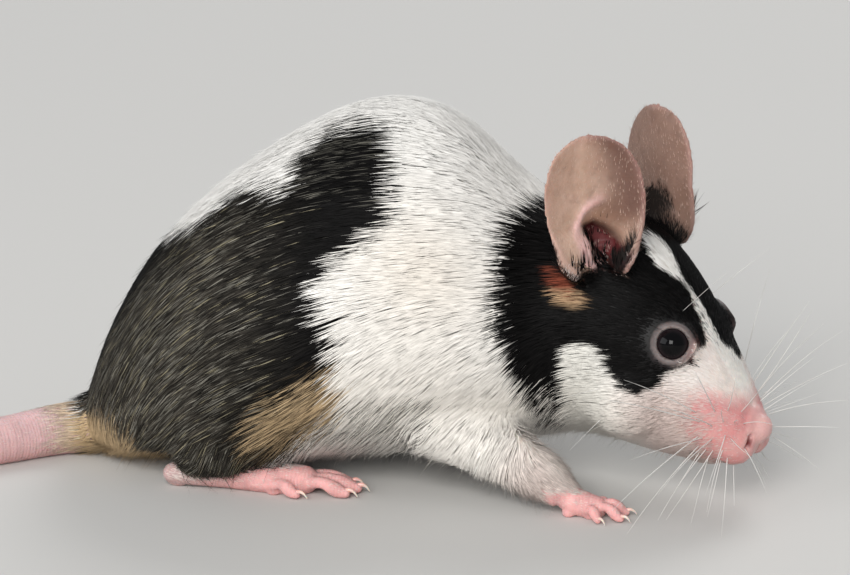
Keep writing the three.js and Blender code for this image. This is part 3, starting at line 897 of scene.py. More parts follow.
# grooves: places on the straight mouse's right side, width and depth
folds = (
    ([(61.9, -1.9, 7.0), (61.75, -2.1, 6.6), (61.5, -2.25, 6.2)], 0.22, 0.5),  # nostril
    ([(61.3, -2.1, 7.9), (60.9, -1.4, 8.9), (60.9, 0, 9.2)], 0.35, 0.12),  # back of the nose
    ([(62.6, 0, 6.3), (62.2, 0, 5.5), (61.4, 0, 4.8)], 0.2, 0.28),  # split lip
    ([(61.2, -0.4, 4.7), (60.2, -1.8, 4.3), (58.6, -2.9, 4.4), (57.0, -3.4, 5.0)], 0.22, 0.34),  # mouth
)


def carve(points, normals, tree, places, width, depth):
    # a groove along a few places, on the right side and on the left
    for way in (1, -1):
        marks = turnSpine(np.array(places) * np.array([1, way, 1]))
        line = np.array([points[tree.find(Vector(mark))[1]] for mark in marks])
        reach = within(points, line.min(axis=0), line.max(axis=0), 1.2)
        away = alongLine(points[reach], line)[0]
        points[reach] -= normals[reach] * (depth * np.exp(-((away / width) ** 2)))[:, None]


def addAttribute(piece, name, values):
    kind = "FLOAT_COLOR" if values.ndim == 2 else "FLOAT"
    attribute = piece.data.attributes.new(name, kind, "POINT")
    if kind == "FLOAT":
        attribute.data.foreach_set("value", values.astype(np.float32))
    else:
        rgba = np.ones((len(values), 4), np.float32)
        rgba[:, :3] = values
        attribute.data.foreach_set("color", rgba.ravel())


def fillGroup(piece, name, weights):
    group = piece.vertex_groups.new(name=name)
    steps = 8
    levels = np.round(weights * steps).astype(int)
    for level in range(1, steps + 1):
        chosen = np.flatnonzero(levels == level)
        if len(chosen):
            group.add(chosen.tolist(), level / steps, "REPLACE")


print("skin: softened")
points = readPoints(skin)
place = survey(points)
lidReach = 1 - ease(place["eyeRound"], 2.2, 3.2)
detail = np.maximum.reduce([place["bare"], lidReach, 0.75 * ease(place["along"], 58, 60)])
softness = (1 - 0.97 * detail) * np.interp(place["along"], (40, 48, 57), (1.0, 0.6, 0.3))
fillGroup(skin, "soft", softness)
applyModifier(skin, "SMOOTH", factor=0.5, iterations=skinSettings["softening"], vertex_group="soft")
applyModifier(skin, "SMOOTH", factor=0.5, iterations=2)

print("skin: folds")
points, normals = readPoints(skin), readVectors(skin, "normal")
place = survey(points)
points -= normals * coatAt(place, "depth")[:, None]
pointTree = treeOf(points)
for places, width, depth in folds:
    carve(points, normals, pointTree, places, width, depth)
turns = 2 * math.pi * place["tailT"] * tailLength / tailShape["ringSpacing"]
rings = tailShape["ringHeight"] * np.sin(turns)
points += normals * (rings * place["tail"])[:, None]
# the lids fit the ball
socket = eyeShape["radius"] + 0.02
for centre in eyePlaces():
    fromBall = points - centre
    away = np.linalg.norm(fromBall, axis=1)
    near = away < socket
    points[near] = centre + fromBall[near] / away[near, None] * socket
points[:, 2] = np.maximum(points[:, 2], 0.0)
writePoints(skin, points)

print("skin: thinned")
fine = np.maximum(place["bare"], 1 - ease(place["eyeRound"], 3.0, 5.0))
fine = np.maximum(fine, 0.8 * ease(place["along"], 50, 57))
skin.vertex_groups.clear()
fillGroup(skin, "plain", 0.5 - 0.375 * fine)
triangles = sum(len(face.vertices) - 2 for face in skin.data.polygons)
applyModifier(skin, "DECIMATE", ratio=min(1.0, skinSettings["most"] / triangles), vertex_group="plain",
              vertex_group_factor=1.0, use_collapse_triangulate=True)
skin.vertex_groups.clear()
skin.data.polygons.foreach_set("use_smooth", np.ones(len(skin.data.polygons), bool))
points, normals = readPoints(skin), readVectors(skin, "normal")
points[:, 2] = np.maximum(points[:, 2], 0.0)
writePoints(skin, points)
place = survey(points)
for name, values in (
        ("tone", skinTone(place)),
        ("bare", np.clip(np.maximum(place["bare"], place["muzzle"]), 0, 1)),
        ("tailRun", place["tailT"] * tailLength * place["tail"]),
        ("tailShare", place["tail"]),
        ("footShare", place["foot"]),
        ("wet", np.clip(place["muzzle"] * ease(place["along"], 60.5, 61.8), 0, 1))):
    addAttribute(skin, name, values)
print("  triangles", len(skin.data.polygons))

# eyes
eyeSettings = {
    "cornea": 0.10, "corneaReach": 1.25, "iris": 1.3, "pupil": 0.85,
    "irisTone": (0.010, 0.006, 0.007), "pupilTone": (0.0012, 0.0010, 0.0014),
}


def addEye(name, way):
    piece, ball = addBall(name, 64, 40, eyeShape["radius"])
    fromAxis = np.hypot(ball[:, 0], ball[:, 1])
    front = ball[:, 2] > 0
    bulge = eyeSettings["cornea"] * (1 - ease(fromAxis, 0, eyeSettings["corneaReach"]))
    ball[:, 2] += np.where(front, bulge, 0)
    writePoints(piece, placeEye(ball, way))
    faceOutward(piece)
    bpy.ops.object.shade_smooth()
    iris = np.where(front, 1 - ease(fromAxis, eyeSettings["pupil"], eyeSettings["iris"]), 0)
    addAttribute(piece, "pupil", iris)
    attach(piece, "root")
    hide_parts(name)
    return piece


print("eyes")
eyes = [addEye(f"eye_{side}", way) for side, way in (("right", -1), ("left", 1))]

# claws: a short curved horn at the tip of each digit
clawSettings = {
    "radii": (0.36, 0.36, 0.31, 0.23, 0.14, 0.05),  # shares of the digit's
    "tipTone": (0.70, 0.60, 0.52), "quickTone": (0.80, 0.45, 0.40),
}


def addClaws(name, toes, place, size):
    claws = []
    for toe in toes:
        length, radius = toe[3:5]
        ahead = digitAhead(toe)
        places = [ahead(length - 0.55, radius * 1.05), ahead(length, radius * 1.5),
                  ahead(length + 0.45 * size, radius * 1.25), ahead(length + 0.78 * size, radius * 0.6)]
        path = smoothPath(setFoot(places, place))
        radii = radiusCurve([r * radius for r in clawSettings["radii"]])
        claws.append(addLimb("claw", path, radii, sides=10, rings=16))
    piece = joinPieces(claws, name)
    bpy.ops.object.shade_smooth()
    run = readPoints(piece)
    tips = np.array([setFoot(digitAhead(toe)(toe[3] + 0.95 * size, 0.3), place) for toe in toes])
    away = np.min(np.linalg.norm(run[:, None] - tips[None], axis=2), axis=1)
    addAttribute(piece, "quick", ease(away, 0.5, 1.3))
    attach(piece, "root")
    return piece


print("claws")
claws = []
for side, leg in legs.items():
    for kind, foot in feet.items():
        claws.append(addClaws(f"claws_{kind}_{side}", foot["toes"], leg[kind], foot["claw"]))

# whiskers
whiskerSettings = {
    # each row: its height, how many, the longest
    "rows": ((8.9, 4, 15), (8.0, 5, 17), (7.0, 6, 16), (6.0, 6, 13), (5.1, 4, 8)),
    "radius": 0.062, "taper": (1.0, 0.92, 0.8, 0.62, 0.42, 0.18),
    # the short ones over the eye and on the cheek: place, way and length
    "short": (((56.0, 3.3, 18.2), (0.75, 0.2, 0.75), 8.0), ((50.5, 8.0, 11.5), (-0.5, 0.85, 0.0), 5.0),
              ((50.2, 7.6, 8.6), (-0.35, 0.8, -0.5), 4.0)),
    "shortRadii": [0.022, 0.02, 0.014, 0.006],
    "sunk": 0.15,
    "darkTone": (0.45, 0.43, 0.40), "paleTone": (0.88, 0.87, 0.84),
}
skinTree = BVHTree.FromPolygons([Vector(p) for p in points],
                                [tuple(face.vertices) for face in skin.data.polygons])


def rootedAt(at):
    found, normal, _, _ = skinTree.find_nearest(Vector(at))
    return np.array(found), np.array(normal)


def turnedWay(way):
    snout = np.array([60.0, 0, 0])
    return turnSpine(snout + way) - turnSpine(snout)


def addWhiskers(name, way):
    hairs = []
    for row, (height, count, longest) in enumerate(whiskerSettings["rows"]):
        for k in range(count):
            back = k / max(1, count - 1)
            root = np.array([60.6 - 2.9 * back + 0.2 * (row % 2), way * (2.0 + 1.6 * back),
                             height + 0.5 * back])
            root, normal = rootedAt(turnSpine(root + draw.normal(0, 0.1, 3)))
            rise = np.interp(row, (0, 2, 4), (0.95, 0.1, -0.95)) + draw.normal(0, 0.14)
            sweep = np.interp(back, (0, 1), (0.55, -0.35)) + draw.normal(0, 0.1)
            toward = turnedWay(unit(np.array([sweep, way * 0.85, rise])))
            toward = unit(toward + 0.35 * normal)
            length = longest * np.interp(back, (0, 1), (0.5, 1.0)) * draw.uniform(0.75, 1.0)
            droop = np.array([0, 0, -1.0]) * length * draw.uniform(0.02, 0.14)
            sidelong = unit(np.cross(toward, np.array([0, 0, 1.0]))) * length * draw.normal(0, 0.05)
            places = [root - normal * whiskerSettings["sunk"]]
            for t in (0.25, 0.5, 0.75, 1.0):
                at = root + toward * length * t + (droop + sidelong) * t * t
                places.append(np.array([at[0], at[1], max(at[2], 0.25)]))
            radius = whiskerSettings["radius"] * np.interp(length, (4, 15), (0.6, 1.0))
            radii = radiusCurve([radius * r for r in whiskerSettings["taper"]])
            hairs.append(addLimb("whisker", smoothPath(places), radii, sides=6, rings=18))
    for at, toward, length in whiskerSettings["short"]:
        root, normal = rootedAt(turnSpine(np.array(at) * np.array([1, way, 1])))
        toward = unit(turnedWay(np.array(toward) * np.array([1, way, 1])))
        places = [root - normal * whiskerSettings["sunk"]]
        for t in (0.3, 0.65, 1.0):
            places.append(root + toward * length * t + np.array([-0.06, 0, -0.1]) * length * t * t)
        radii = radiusCurve(whiskerSettings["shortRadii"])
        hairs.append(addLimb("whisker", smoothPath(places), radii, sides=6, rings=14))
    piece = joinPieces(hairs, name)
    bpy.ops.object.shade_smooth()
    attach(piece, "root")
    return piece


print("whiskers")
whiskers = [addWhiskers(f"whiskers_{side}", way) for side, way in (("right", -1), ("left", 1))]

# coat
coatSettings = {
    "most": 130000, "fuzz": 16000, "fringe": 5200,  # tufts
    "clump": 0.13, "lock": 9,  # how far the tips of a lock draw together, and tufts to a lock
    "waver": 3.2,  # degrees
    "lengths": (0.7, 1.15), "widths": (0.65, 1.25), "lift": (0.9, 1.0),  # how far the tufts vary
    "middle": 0.76,  # how high a tuft's middle lies in the coat's depth
    "flat": 0.12,  # half a tuft's thickness, as a share of its width
    "follow": 0.86,  # how much of its shading a hair takes from the body under it
    "shade": (0.6, 0.95, 1.05),  # root, middle and tip of a dark hair, as painted shade: darker towards the root
    "patch": 0.003,  # a tuft's size in the bake's square
}


def lieOfCoat(place, normals):
    # which way the hair lies: back along the body and down its sides, down the legs to the feet
    along, fromSpine = place["along"], place["fromSpine"]
    down = np.interp(along, (-2, 4, 10, 16, 24, 36, 44, 50), (2.4, 1.5, 0.85, 0.55, 0.22, 0.12, 0.3, 0.0))
    down = down + 0.9 * ease(fromSpine, 75, 135) * ease(along, 18, 26) * (1 - ease(along, 42, 47))
    head = ease(along, 47, 52)
    down = lerp(down, np.interp(fromSpine, (0, 60, 100, 150), (0.0, -0.25, 0.15, 0.1)), head)
    outward = np.clip(place["straight"][:, 1] / 4.0, -1, 1) * lerp(0.10, 0.22, head)
    angle, _ = bendAngles(along)
    x, y = rotated(-1.0, outward, angle)
    way = unit(np.stack([x, y, -down], -1))
    # on the upper limb it hangs, further down it follows the limb
    hang = np.array([-0.4, 0.0, -1.0])
    legWay = unit(lerp(hang, place["legWay"], ease(place["legT"], 0.5, 0.85)[:, None]))
    way = lerp(way, legWay, (place["leg"] * ease(place["legT"], 0.1, 0.45))[:, None])
    onTail = np.maximum(place["tail"], (1 - ease(along, -2.5, 1.0)) * (place["tailT"] > 0.02) * 0.7)
    way = lerp(way, unit(directionOf(tailPath, place["tailT"])), onTail[:, None])
    # on an ear the hair lies up and outwards, on a foot towards the toes
    way = lerp(way, np.array([0.05, 0.0, 1.0]), place["ear"][:, None])
    way = lerp(way, np.array([1.0, 0.0, -0.2]), place["foot"][:, None])
    return alongSkin(way, normals)


def alongSkin(way, normals):
    return unit(way - normals * (way * normals).sum(axis=1, keepdims=True))


def turned(way, normals, degrees):
    angle = np.radians(degrees)[:, None]
    return way * np.cos(angle) + np.cross(normals, way) * np.sin(angle)


def scatterRoots(closeness, count):
    # random places on the skin, closer together where closeness is greater
    corners = np.empty(len(skin.data.polygons) * 3, np.int32)
    skin.data.polygons.foreach_get("vertices", corners)
    corners = corners.reshape(-1, 3)
    a, b, c = points[corners[:, 0]], points[corners[:, 1]], points[corners[:, 2]]
    area = np.linalg.norm(np.cross(b - a, c - a), axis=1) / 2
    share = np.cumsum(area * closeness[corners].mean(axis=1))
    total = int(min(count, share[-1]))
    face = np.searchsorted(share, draw.uniform(0, share[-1], total))
    face = np.minimum(face, len(corners) - 1)
    u, v = draw.uniform(0, 1, total), draw.uniform(0, 1, total)
    flip = u + v > 1
    u, v = np.where(flip, 1 - u, u), np.where(flip, 1 - v, v)
    place = a[face] + (b[face] - a[face]) * u[:, None] + (c[face] - a[face]) * v[:, None]
    n = normals[corners[face]]
    normal = unit(n[:, 0] * (1 - u - v)[:, None] + n[:, 1] * u[:, None] + n[:, 2] * v[:, None])
    return place, normal, int(share[-1])


def ontoSkin(places):
    found = np.empty_like(places)
    normal = np.empty_like(places)
    for i, at in enumerate(places):
        found[i], normal[i], _, _ = skinTree.find_nearest(at)
    return found, normal


def bareness(place):
    # little or no coat on the ears, feet and tail, the lids, the nose and what touches the floor
    clear = ease(place["eyeRound"], 1.85, 2.35)
    clear = clear * (1 - ease(place["bare"], 0.45, 0.95))
    clear = clear * (1 - 0.45 * place["muzzle"]) * (1 - ease(place["along"], 60.9, 61.8))
    return clear * ease(place["at"][:, 2], 0.05, 0.25)


# fine hairs to the square millimetre
fuzzClose = {
    "ear": 4, "rim": 8, "earBase": 80, "opening": 30, "tail": 5, "tailRoot": 30,
    "foot": 4, "instep": 8, "heel": 40,
}


def heelShare(place):
    return (1 - ease(place["along"], 9.5, 14.5)) * (place["tailT"] < 0.02)


def fuzz(place):
    # the few fine hairs of the ears, feet and tail
    close, height = fuzzClose, place["at"][:, 2]
    rim = np.clip(ease(np.abs(place["earS"]), 0.75, 1.0) + ease(place["earV"], 0.85, 1.0), 0, 1)
    opening = (place["earIn"] > 0.5) * (1 - ease(place["earV"], 0.05, 0.2))
    opening = opening * bump(place["earS"], -0.05, 0.25)
    ears = close["ear"] + close["rim"] * rim + close["earBase"] * earBaseHair(place)
    ears = place["ear"] * (ears + close["opening"] * opening)
    tail = close["tail"] + close["tailRoot"] * (1 - ease(place["tailT"], 0.05, 0.13))
    foot = close["foot"] + (close["instep"] + close["heel"] * heelShare(place)) * (height > 1.0)
    return (ears + place["tail"] * tail + place["foot"] * foot) * ease(height, 0.3, 0.8)


def growTufts(rootPlace, rootNormal, length, width, depth, stand):
    # each tuft starts in the skin, follows it, and rises to the coat's surface at its tip
    ground = survey(rootPlace)
    count = len(rootPlace)
    waver = coatSettings["waver"] * (draw.normal(size=count) * 0.8 + 1.1 * ripple(rootPlace, 3.0, 61))
    way = turned(lieOfCoat(ground, rootNormal), rootNormal, waver)
    middle, middleNormal = ontoSkin(rootPlace + way * (length * 0.5)[:, None])
    shown = survey(middle + way * (length * 0.18)[:, None])
    way2 = turned(lieOfCoat(shown, middleNormal), middleNormal, waver)
    tip, tipNormal = ontoSkin(middle + way2 * (length * 0.5)[:, None])
    lift = draw.uniform(*coatSettings["lift"], count)
    middle = middle + middleNormal * (depth * coatSettings["middle"] * lift)[:, None]
    tip = tip + tipNormal * (depth * lift * (1 + stand))[:, None]
    tip = tip + tipNormal * (stand * length * 0.3)[:, None]
    root = rootPlace - rootNormal * (0.06 + 0.25 * width)[:, None]
    return ground, shown, root, middle, tip, (rootNormal, middleNormal, tipNormal)


def clumped(tip, root, length):
    # neighbouring tips draw together into locks
    chosen = draw.choice(len(root), max(1, len(root) // coatSettings["lock"]), replace=False)
    tree = treeOf(root[chosen])
    nearest = chosen[[tree.find(at)[1] for at in root]]
    pull = tip[nearest] - tip
    away = np.linalg.norm(root[nearest] - root, axis=1)
    share = coatSettings["clump"] * (1 - ease(away / length, 0.3, 0.8))
    share = share * draw.uniform(0.3, 1.0, len(root))
    return tip + pull * share[:, None]


# a tuft is a closed spike: three corners at its root, three at its middle and its tip
tuftFaces = ((2, 1, 0), (0, 1, 4, 3), (1, 2, 5, 4), (2, 0, 3, 5), (3, 4, 6), (4, 5, 6), (5, 3, 6))
tuftPatch = ((-0.5, 0), (0, 0.1), (0.5, 0), (-0.5, 0.55), (0, 0.6), (0.5, 0.55), (0, 1))


def addCoatPiece(name, root, middle, tip, bodyNormals, width, tone, spread):
    count = len(root)
    roll = draw.uniform(-0.35, 0.35, count)
    verts = np.empty((count, 7, 3))
    shading = np.empty((count, 7, 3))
    follow = coatSettings["follow"]
    for level, (at, normal, toward, girth) in enumerate((
            (root, bodyNormals[0], middle - root, 0.8), (middle, bodyNormals[1], tip - root, 1.0))):
        way = unit(toward)
        side = unit(np.cross(normal, way))
        over = np.cross(way, side)
        for k in range(3):
            angle = roll + math.radians(90 + 120 * k)
            reach = side * (np.cos(angle) * width * 0.5 * girth)[:, None]
            rise = over * (np.sin(angle) * width * coatSettings["flat"] * girth)[:, None]
            verts[:, level * 3 + k] = at + reach + rise
            shading[:, level * 3 + k] = unit(normal * follow + unit(reach + rise) * (1 - follow))
    verts[:, 6] = tip
    shading[:, 6] = bodyNormals[2]
    verts[:, :, 2] = np.maximum(verts[:, :, 2], 0.01)
    mesh = bpy.data.meshes.new(name)
    mesh.vertices.add(count * 7)
    mesh.vertices.foreach_set("co", (verts * mm).astype(np.float32).ravel())
    pattern = np.array([k for face in tuftFaces for k in face])
    sizes = np.array([len(face) for face in tuftFaces])
    loops = (pattern[None, :] + 7 * np.arange(count)[:, None]).ravel()
    mesh.loops.add(len(loops))
    mesh.loops.foreach_set("vertex_index", loops.astype(np.int32))
    mesh.polygons.add(count * len(sizes))
    starts = np.concatenate([[0], np.cumsum(np.tile(sizes, count))[:-1]])
    mesh.polygons.foreach_set("loop_start", starts.astype(np.int32))
    mesh.update(calc_edges=True)
    mesh.polygons.foreach_set("use_smooth", np.ones(len(mesh.polygons), bool))
    # a small patch for each tuft, where its root lies on the unrolled skin
    corner = np.array(tuftPatch) * coatSettings["patch"]
    uv = spread[:, None, :] + corner[pattern][None, :, :]
    layer = mesh.uv_layers.new(name="OFBake")
    layer.data.foreach_set("uv", np.clip(uv, 0, 1).astype(np.float32).ravel())
    mesh.validate()
    mesh.normals_split_custom_set_from_vertices(shading.reshape(-1, 3).astype(np.float32))
    piece = bpy.data.objects.new(name, mesh)
    bpy.context.collection.objects.link(piece)
    # painted shade: a dark hair darkens towards its root, where the coat over it shades it; a pale hair
    # keeps its tone
    shade = np.repeat(coatSettings["shade"], (3, 3, 1))
    pale = tone.mean(axis=1, keepdims=True)
    shades = lerp(shade[None, :], 1.0, ease(pale, 0.1, 0.5))
    addAttribute(piece, "tone", np.clip((tone[:, None, :] * shades[:, :, None]).reshape(-1, 3), 0, 1))
    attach(piece, "root")
    return piece


# where the coat's pieces meet: mm along, and degrees from the spine
seams = {"head": 49.5, "neck": 41.5, "waist": 19, "back": 62, "nape": 80, "belly": 118}


def coatRegions(ground):
    # the coat is made in pieces, each a stretch of the body
    along, fromSpine = ground["along"], ground["fromSpine"]
    leg, right, front = ground["leg"] > 0.5, ground["round"] < 0, along > seams["waist"]
    head = along > seams["head"]
    neck = (along > seams["neck"]) & ~head
    body, low = ~head & ~neck & ~leg, fromSpine > seams["belly"]
    top, side = body & (fromSpine < seams["back"]), body & ~low & (fromSpine >= seams["back"])
    return {
        "coat_face_right": head & right,
        "coat_face_left": head & ~right,
        "coat_nape": neck & ~leg & (fromSpine < seams["nape"]),
        "coat_throat": neck & ~leg & (fromSpine >= seams["nape"]),
        "coat_legs": leg & ~head,
        "coat_belly_right": body & low & right,
        "coat_belly_left": body & low & ~right,
        "coat_back": top & front,
        "coat_croup": top & ~front,
        "coat_flank_right": side & front & right,
        "coat_flank_left": side & front & ~right,
        "coat_rump_right": side & ~front & right,
        "coat_rump_left": side & ~front & ~right,
    }


coatPieces = []


def growCoat(name, chosen, spread):
    # one piece, from those of the tufts grown last that are chosen
    coatPieces.append(addCoatPiece(name, root[chosen], middle[chosen], tip[chosen],
                                   [normal[chosen] for normal in bodyNormals], width[chosen],
                                   tone[chosen], spread))


def spreadOut(along, across):
    # a piece's own part of the unrolled skin, fitted into the bake's square
    uv = np.stack([along, across], -1)
    low, high = uv.min(axis=0), uv.max(axis=0)
    return 0.01 + 0.98 * (uv - low) / np.maximum(high - low, 1e-6)


print("coat: roots")
most = coatSettings["most"] // 1
close = coatAt(place, "close") * bareness(place)
roots, rootNormals, wanted = scatterRoots(close, most)
print("  tufts", len(roots), "of", wanted)
ground = survey(roots)
length = coatAt(ground, "length") * draw.uniform(*coatSettings["lengths"], len(roots))
width = coatAt(ground, "width") * draw.uniform(*coatSettings["widths"], len(roots))
width = width * 1.0
depth = np.maximum(coatAt(ground, "depth"), 0.03)
rumpward = 1 - ease(ground["along"], 16, 26)
stray = np.where(draw.uniform(size=len(roots)) < 0.003 + 0.015 * rumpward, 0.24, 0.0)
# low on the body the coat hangs in a fringe
along = ground["along"]
under = ease(ground["fromSpine"], 105, 135) * (along > 2) * (along < 51)
stray = stray + 0.5 * under * (1 - ground["leg"]) * draw.uniform(0, 1, len(roots)) ** 2
length = length * (1 + 0.3 * under)
lowerLeg = ground["leg"] * (1 - ease(ground["fromFoot"], 3, 9))
stray = stray + 0.7 * lowerLeg * draw.uniform(0, 1, len(roots)) ** 2
print("coat: combed")
ground, shown, root, middle, tip, bodyNormals = growTufts(roots, rootNormals, length, width, depth, stray)
tip = clumped(tip, root, length)
chance = draw.uniform(size=(len(roots), 3))
tone = coatTone(shown, chance)
dark = 1 - ease(tone.max(axis=1), 0.05, 0.3)
tone = tone * np.exp(draw.normal(0, 1, len(roots)) * (lerp(0.045, 0.42, dark) + 0.1 * lowerLeg))[:, None]
for name, chosen in coatRegions(ground).items():
    if not chosen.any():
        continue
    if name == "coat_legs":
        across = ground["round"] + 400 * (ground["along"] > 24)  # the forelegs beside the hind legs
        spread = spreadOut((ground["legT"] * 20 + ground["at"][:, 2])[chosen], across[chosen])
    else:
        spread = spreadOut(ground["along"][chosen], ground["round"][chosen])
    print("  ", name, int(chosen.sum()))
    growCoat(name, chosen, spread)

print("coat: fuzz of the ears, feet and tail")
sparse, sparseNormals, _ = scatterRoots(fuzz(place), coatSettings["fuzz"] // (1))
ground = survey(sparse)
isEar, isTail = ground["ear"] > 0.4, ground["tail"] > 0.4
rootHair = (1 - ease(ground["tailT"], 0.05, 0.14)) * isTail
length = np.where(~isEar & isTail, 0.6 + 1.4 * rootHair, 0.55) * draw.uniform(0.6, 1.3, len(sparse))
# the hair at an ear's base stays out of its cup, but for the foot of the front rim
opening = [placeEar(np.array([1.0, 0, 0]), way) - placeEar(np.zeros(3), way) for way in (-1, 1)]
opening = np.array(opening)[(ground["straight"][:, 1] > 0).astype(int)]
cupward = (sparseNormals * opening).sum(axis=1)
earBase = (cupward < 0.3) | ((ground["earS"] < -0.4) & (ground["earV"] < 0.2))
earBase = isEar * earBaseHair(ground) * earBase
length = length * (1 + 1.3 * earBase) * (1 + heelShare(ground) * ground["foot"])
frontRim = isEar * (1 - ease(ground["earS"], -1.0, -0.8)) * bump(ground["earV"], 0.25, 0.16)
length = length * (1 + 1.6 * frontRim)
width = np.where(isEar, 0.032, 0.038) + 0.06 * rootHair + 0.04 * earBase
rim = isEar * ease(np.abs(ground["earS"]), 0.8, 1.0)
stand = np.where(isEar, 0.35 + 1.2 * rim, 0.12)
ground, _, root, middle, tip, bodyNormals = growTufts(
    sparse, sparseNormals, length, width, np.full(len(sparse), 0.05), stand)
tone = np.tile(tones["pinkWhite"], (len(sparse), 1)) * draw.uniform(0.75, 1.05, (len(sparse), 1))
tone = mixTones(tone, ("tan", rootHair * 0.8))
tone = tone * np.exp(draw.normal(0, 1, len(sparse)) * 0.3 * rootHair)[:, None]
tone = mixTones(tone, ("earRim", isEar * (ground["earV"] > 0.15) * 0.8),
                ("black", (earBase > 0.02) * 0.97))
for name, chosen, along, across in (
        ("coat_ears", isEar, ground["earS"] + 3 * (ground["at"][:, 1] > 0),
         ground["earV"] + 1.5 * ground["earIn"]),
        ("coat_tail", isTail & ~isEar, ground["tailT"],
         np.degrees(np.arctan2(root[:, 2] - 1.5, root[:, 1]))),
        ("coat_feet", ~isTail & ~isEar, ground["at"][:, 0], ground["at"][:, 1])):
    growCoat(name, chosen, spreadOut(along[chosen], across[chosen]))


def fringe(place, normals):
    # fine hairs that hang from the chin, the throat, the belly and the forearms
    low = ease(-normals[:, 2], 0.1, 0.7) * ease(place["along"], 2, 6)
    low = low * (1 - ease(place["along"], 57, 60))
    return 5.0 * low * (1 - place["bare"]) * ease(place["at"][:, 2], 1.0, 2.0)


print("coat: fringe")
most = coatSettings["fringe"] // 1
sparse, sparseNormals, _ = scatterRoots(fringe(place, normals), most)
length = np.interp(survey(sparse)["along"], (20, 45, 52, 58), (2.6, 2.2, 1.2, 0.7))
length = length * draw.uniform(0.6, 1.3, len(sparse))
stand = draw.uniform(0.7, 2.2, len(sparse))
width, depth = np.full(len(sparse), 0.05), np.full(len(sparse), 0.3)
ground, shown, root, middle, tip, bodyNormals = growTufts(
    sparse, sparseNormals, length, width, depth, stand)
tip[:, 2] = np.maximum(tip[:, 2], 0.15)
tone = coatTone(shown, draw.uniform(size=(len(sparse), 3)))
growCoat("coat_fringe", slice(None), spreadOut(ground["along"], ground["round"]))


# materials
def newMaterial(name, **constants):
    material = bpy.data.materials.new(name)
    material.use_nodes = True
    shader = material.node_tree.nodes["Principled BSDF"]
    for socket, value in constants.items():
        shader.inputs[socket.replace("_", " ")].default_value = value
    return material, material.node_tree, shader


def addNode(tree, kind, inputs=None, **settings):
    node = tree.nodes.new(kind)
    for name, value in settings.items():
        setattr(node, name, value)
    for name, value in (inputs or {}).items():
        if isinstance(value, bpy.types.NodeSocket):
            tree.links.new(value, node.inputs[name])
        else:
            node.inputs[name].default_value = value
    return node


def newGroup(name, inputs, outputs):
    group = bpy.data.node_groups.new(name, "ShaderNodeTree")
    for socket, kind, value in inputs:
        made = group.interface.new_socket(name=socket, in_out="INPUT", socket_type=kind)
        if value is not None:
            made.default_value = value
    for socket, kind in outputs:
        group.interface.new_socket(name=socket, in_out="OUTPUT", socket_type=kind)
    return group, group.nodes.new("NodeGroupInput"), group.nodes.new("NodeGroupOutput")


def addMath(tree, operation, a, b=0.0):
    return addNode(tree, "ShaderNodeMath", {0: a, 1: b}, operation=operation).outputs[0]


def objectPlace(tree):
    return addNode(tree, "ShaderNodeTexCoord").outputs["Object"]


def attributeOf(tree, name, output="Fac"):
    return addNode(tree, "ShaderNodeAttribute", attribute_name=name).outputs[output]


def mottleGroup():
    # lightens and darkens a colour unevenly
    group, source, result = newGroup(
        "mottle", [("Color", "NodeSocketColor", None), ("Scale", "NodeSocketFloat", 900.0),
                   ("Amount", "NodeSocketFloat", 0.2)], [("Color", "NodeSocketColor")])
    noise = addNode(group, "ShaderNodeTexNoise", {
        "Vector": objectPlace(group), "Scale": source.outputs["Scale"], "Detail": 4.0, "Roughness": 0.6})
    centred = addMath(group, "SUBTRACT", noise.outputs["Fac"], 0.5)
    factor = addMath(group, "ADD", addMath(group, "MULTIPLY", centred, source.outputs["Amount"]), 1.0)
    multiplied = addNode(group, "ShaderNodeVectorMath", {0: source.outputs["Color"], 1: factor},
                         operation="MULTIPLY")
    group.links.new(multiplied.outputs[0], result.inputs["Color"])
    return group


mottle = mottleGroup()


def tonedColour(tree, scale, amount):
    inputs = {"Color": attributeOf(tree, "tone", "Color"), "Scale": scale, "Amount": amount}
    return addNode(tree, "ShaderNodeGroup", inputs, node_tree=mottle).outputs["Color"]


def coatMaterial():
    material, tree, shader = newMaterial("coatHair", Roughness=0.56, Specular_IOR_Level=0.06)
    tree.links.new(tonedColour(tree, 700.0, 0.25), shader.inputs["Base Color"])
    return material


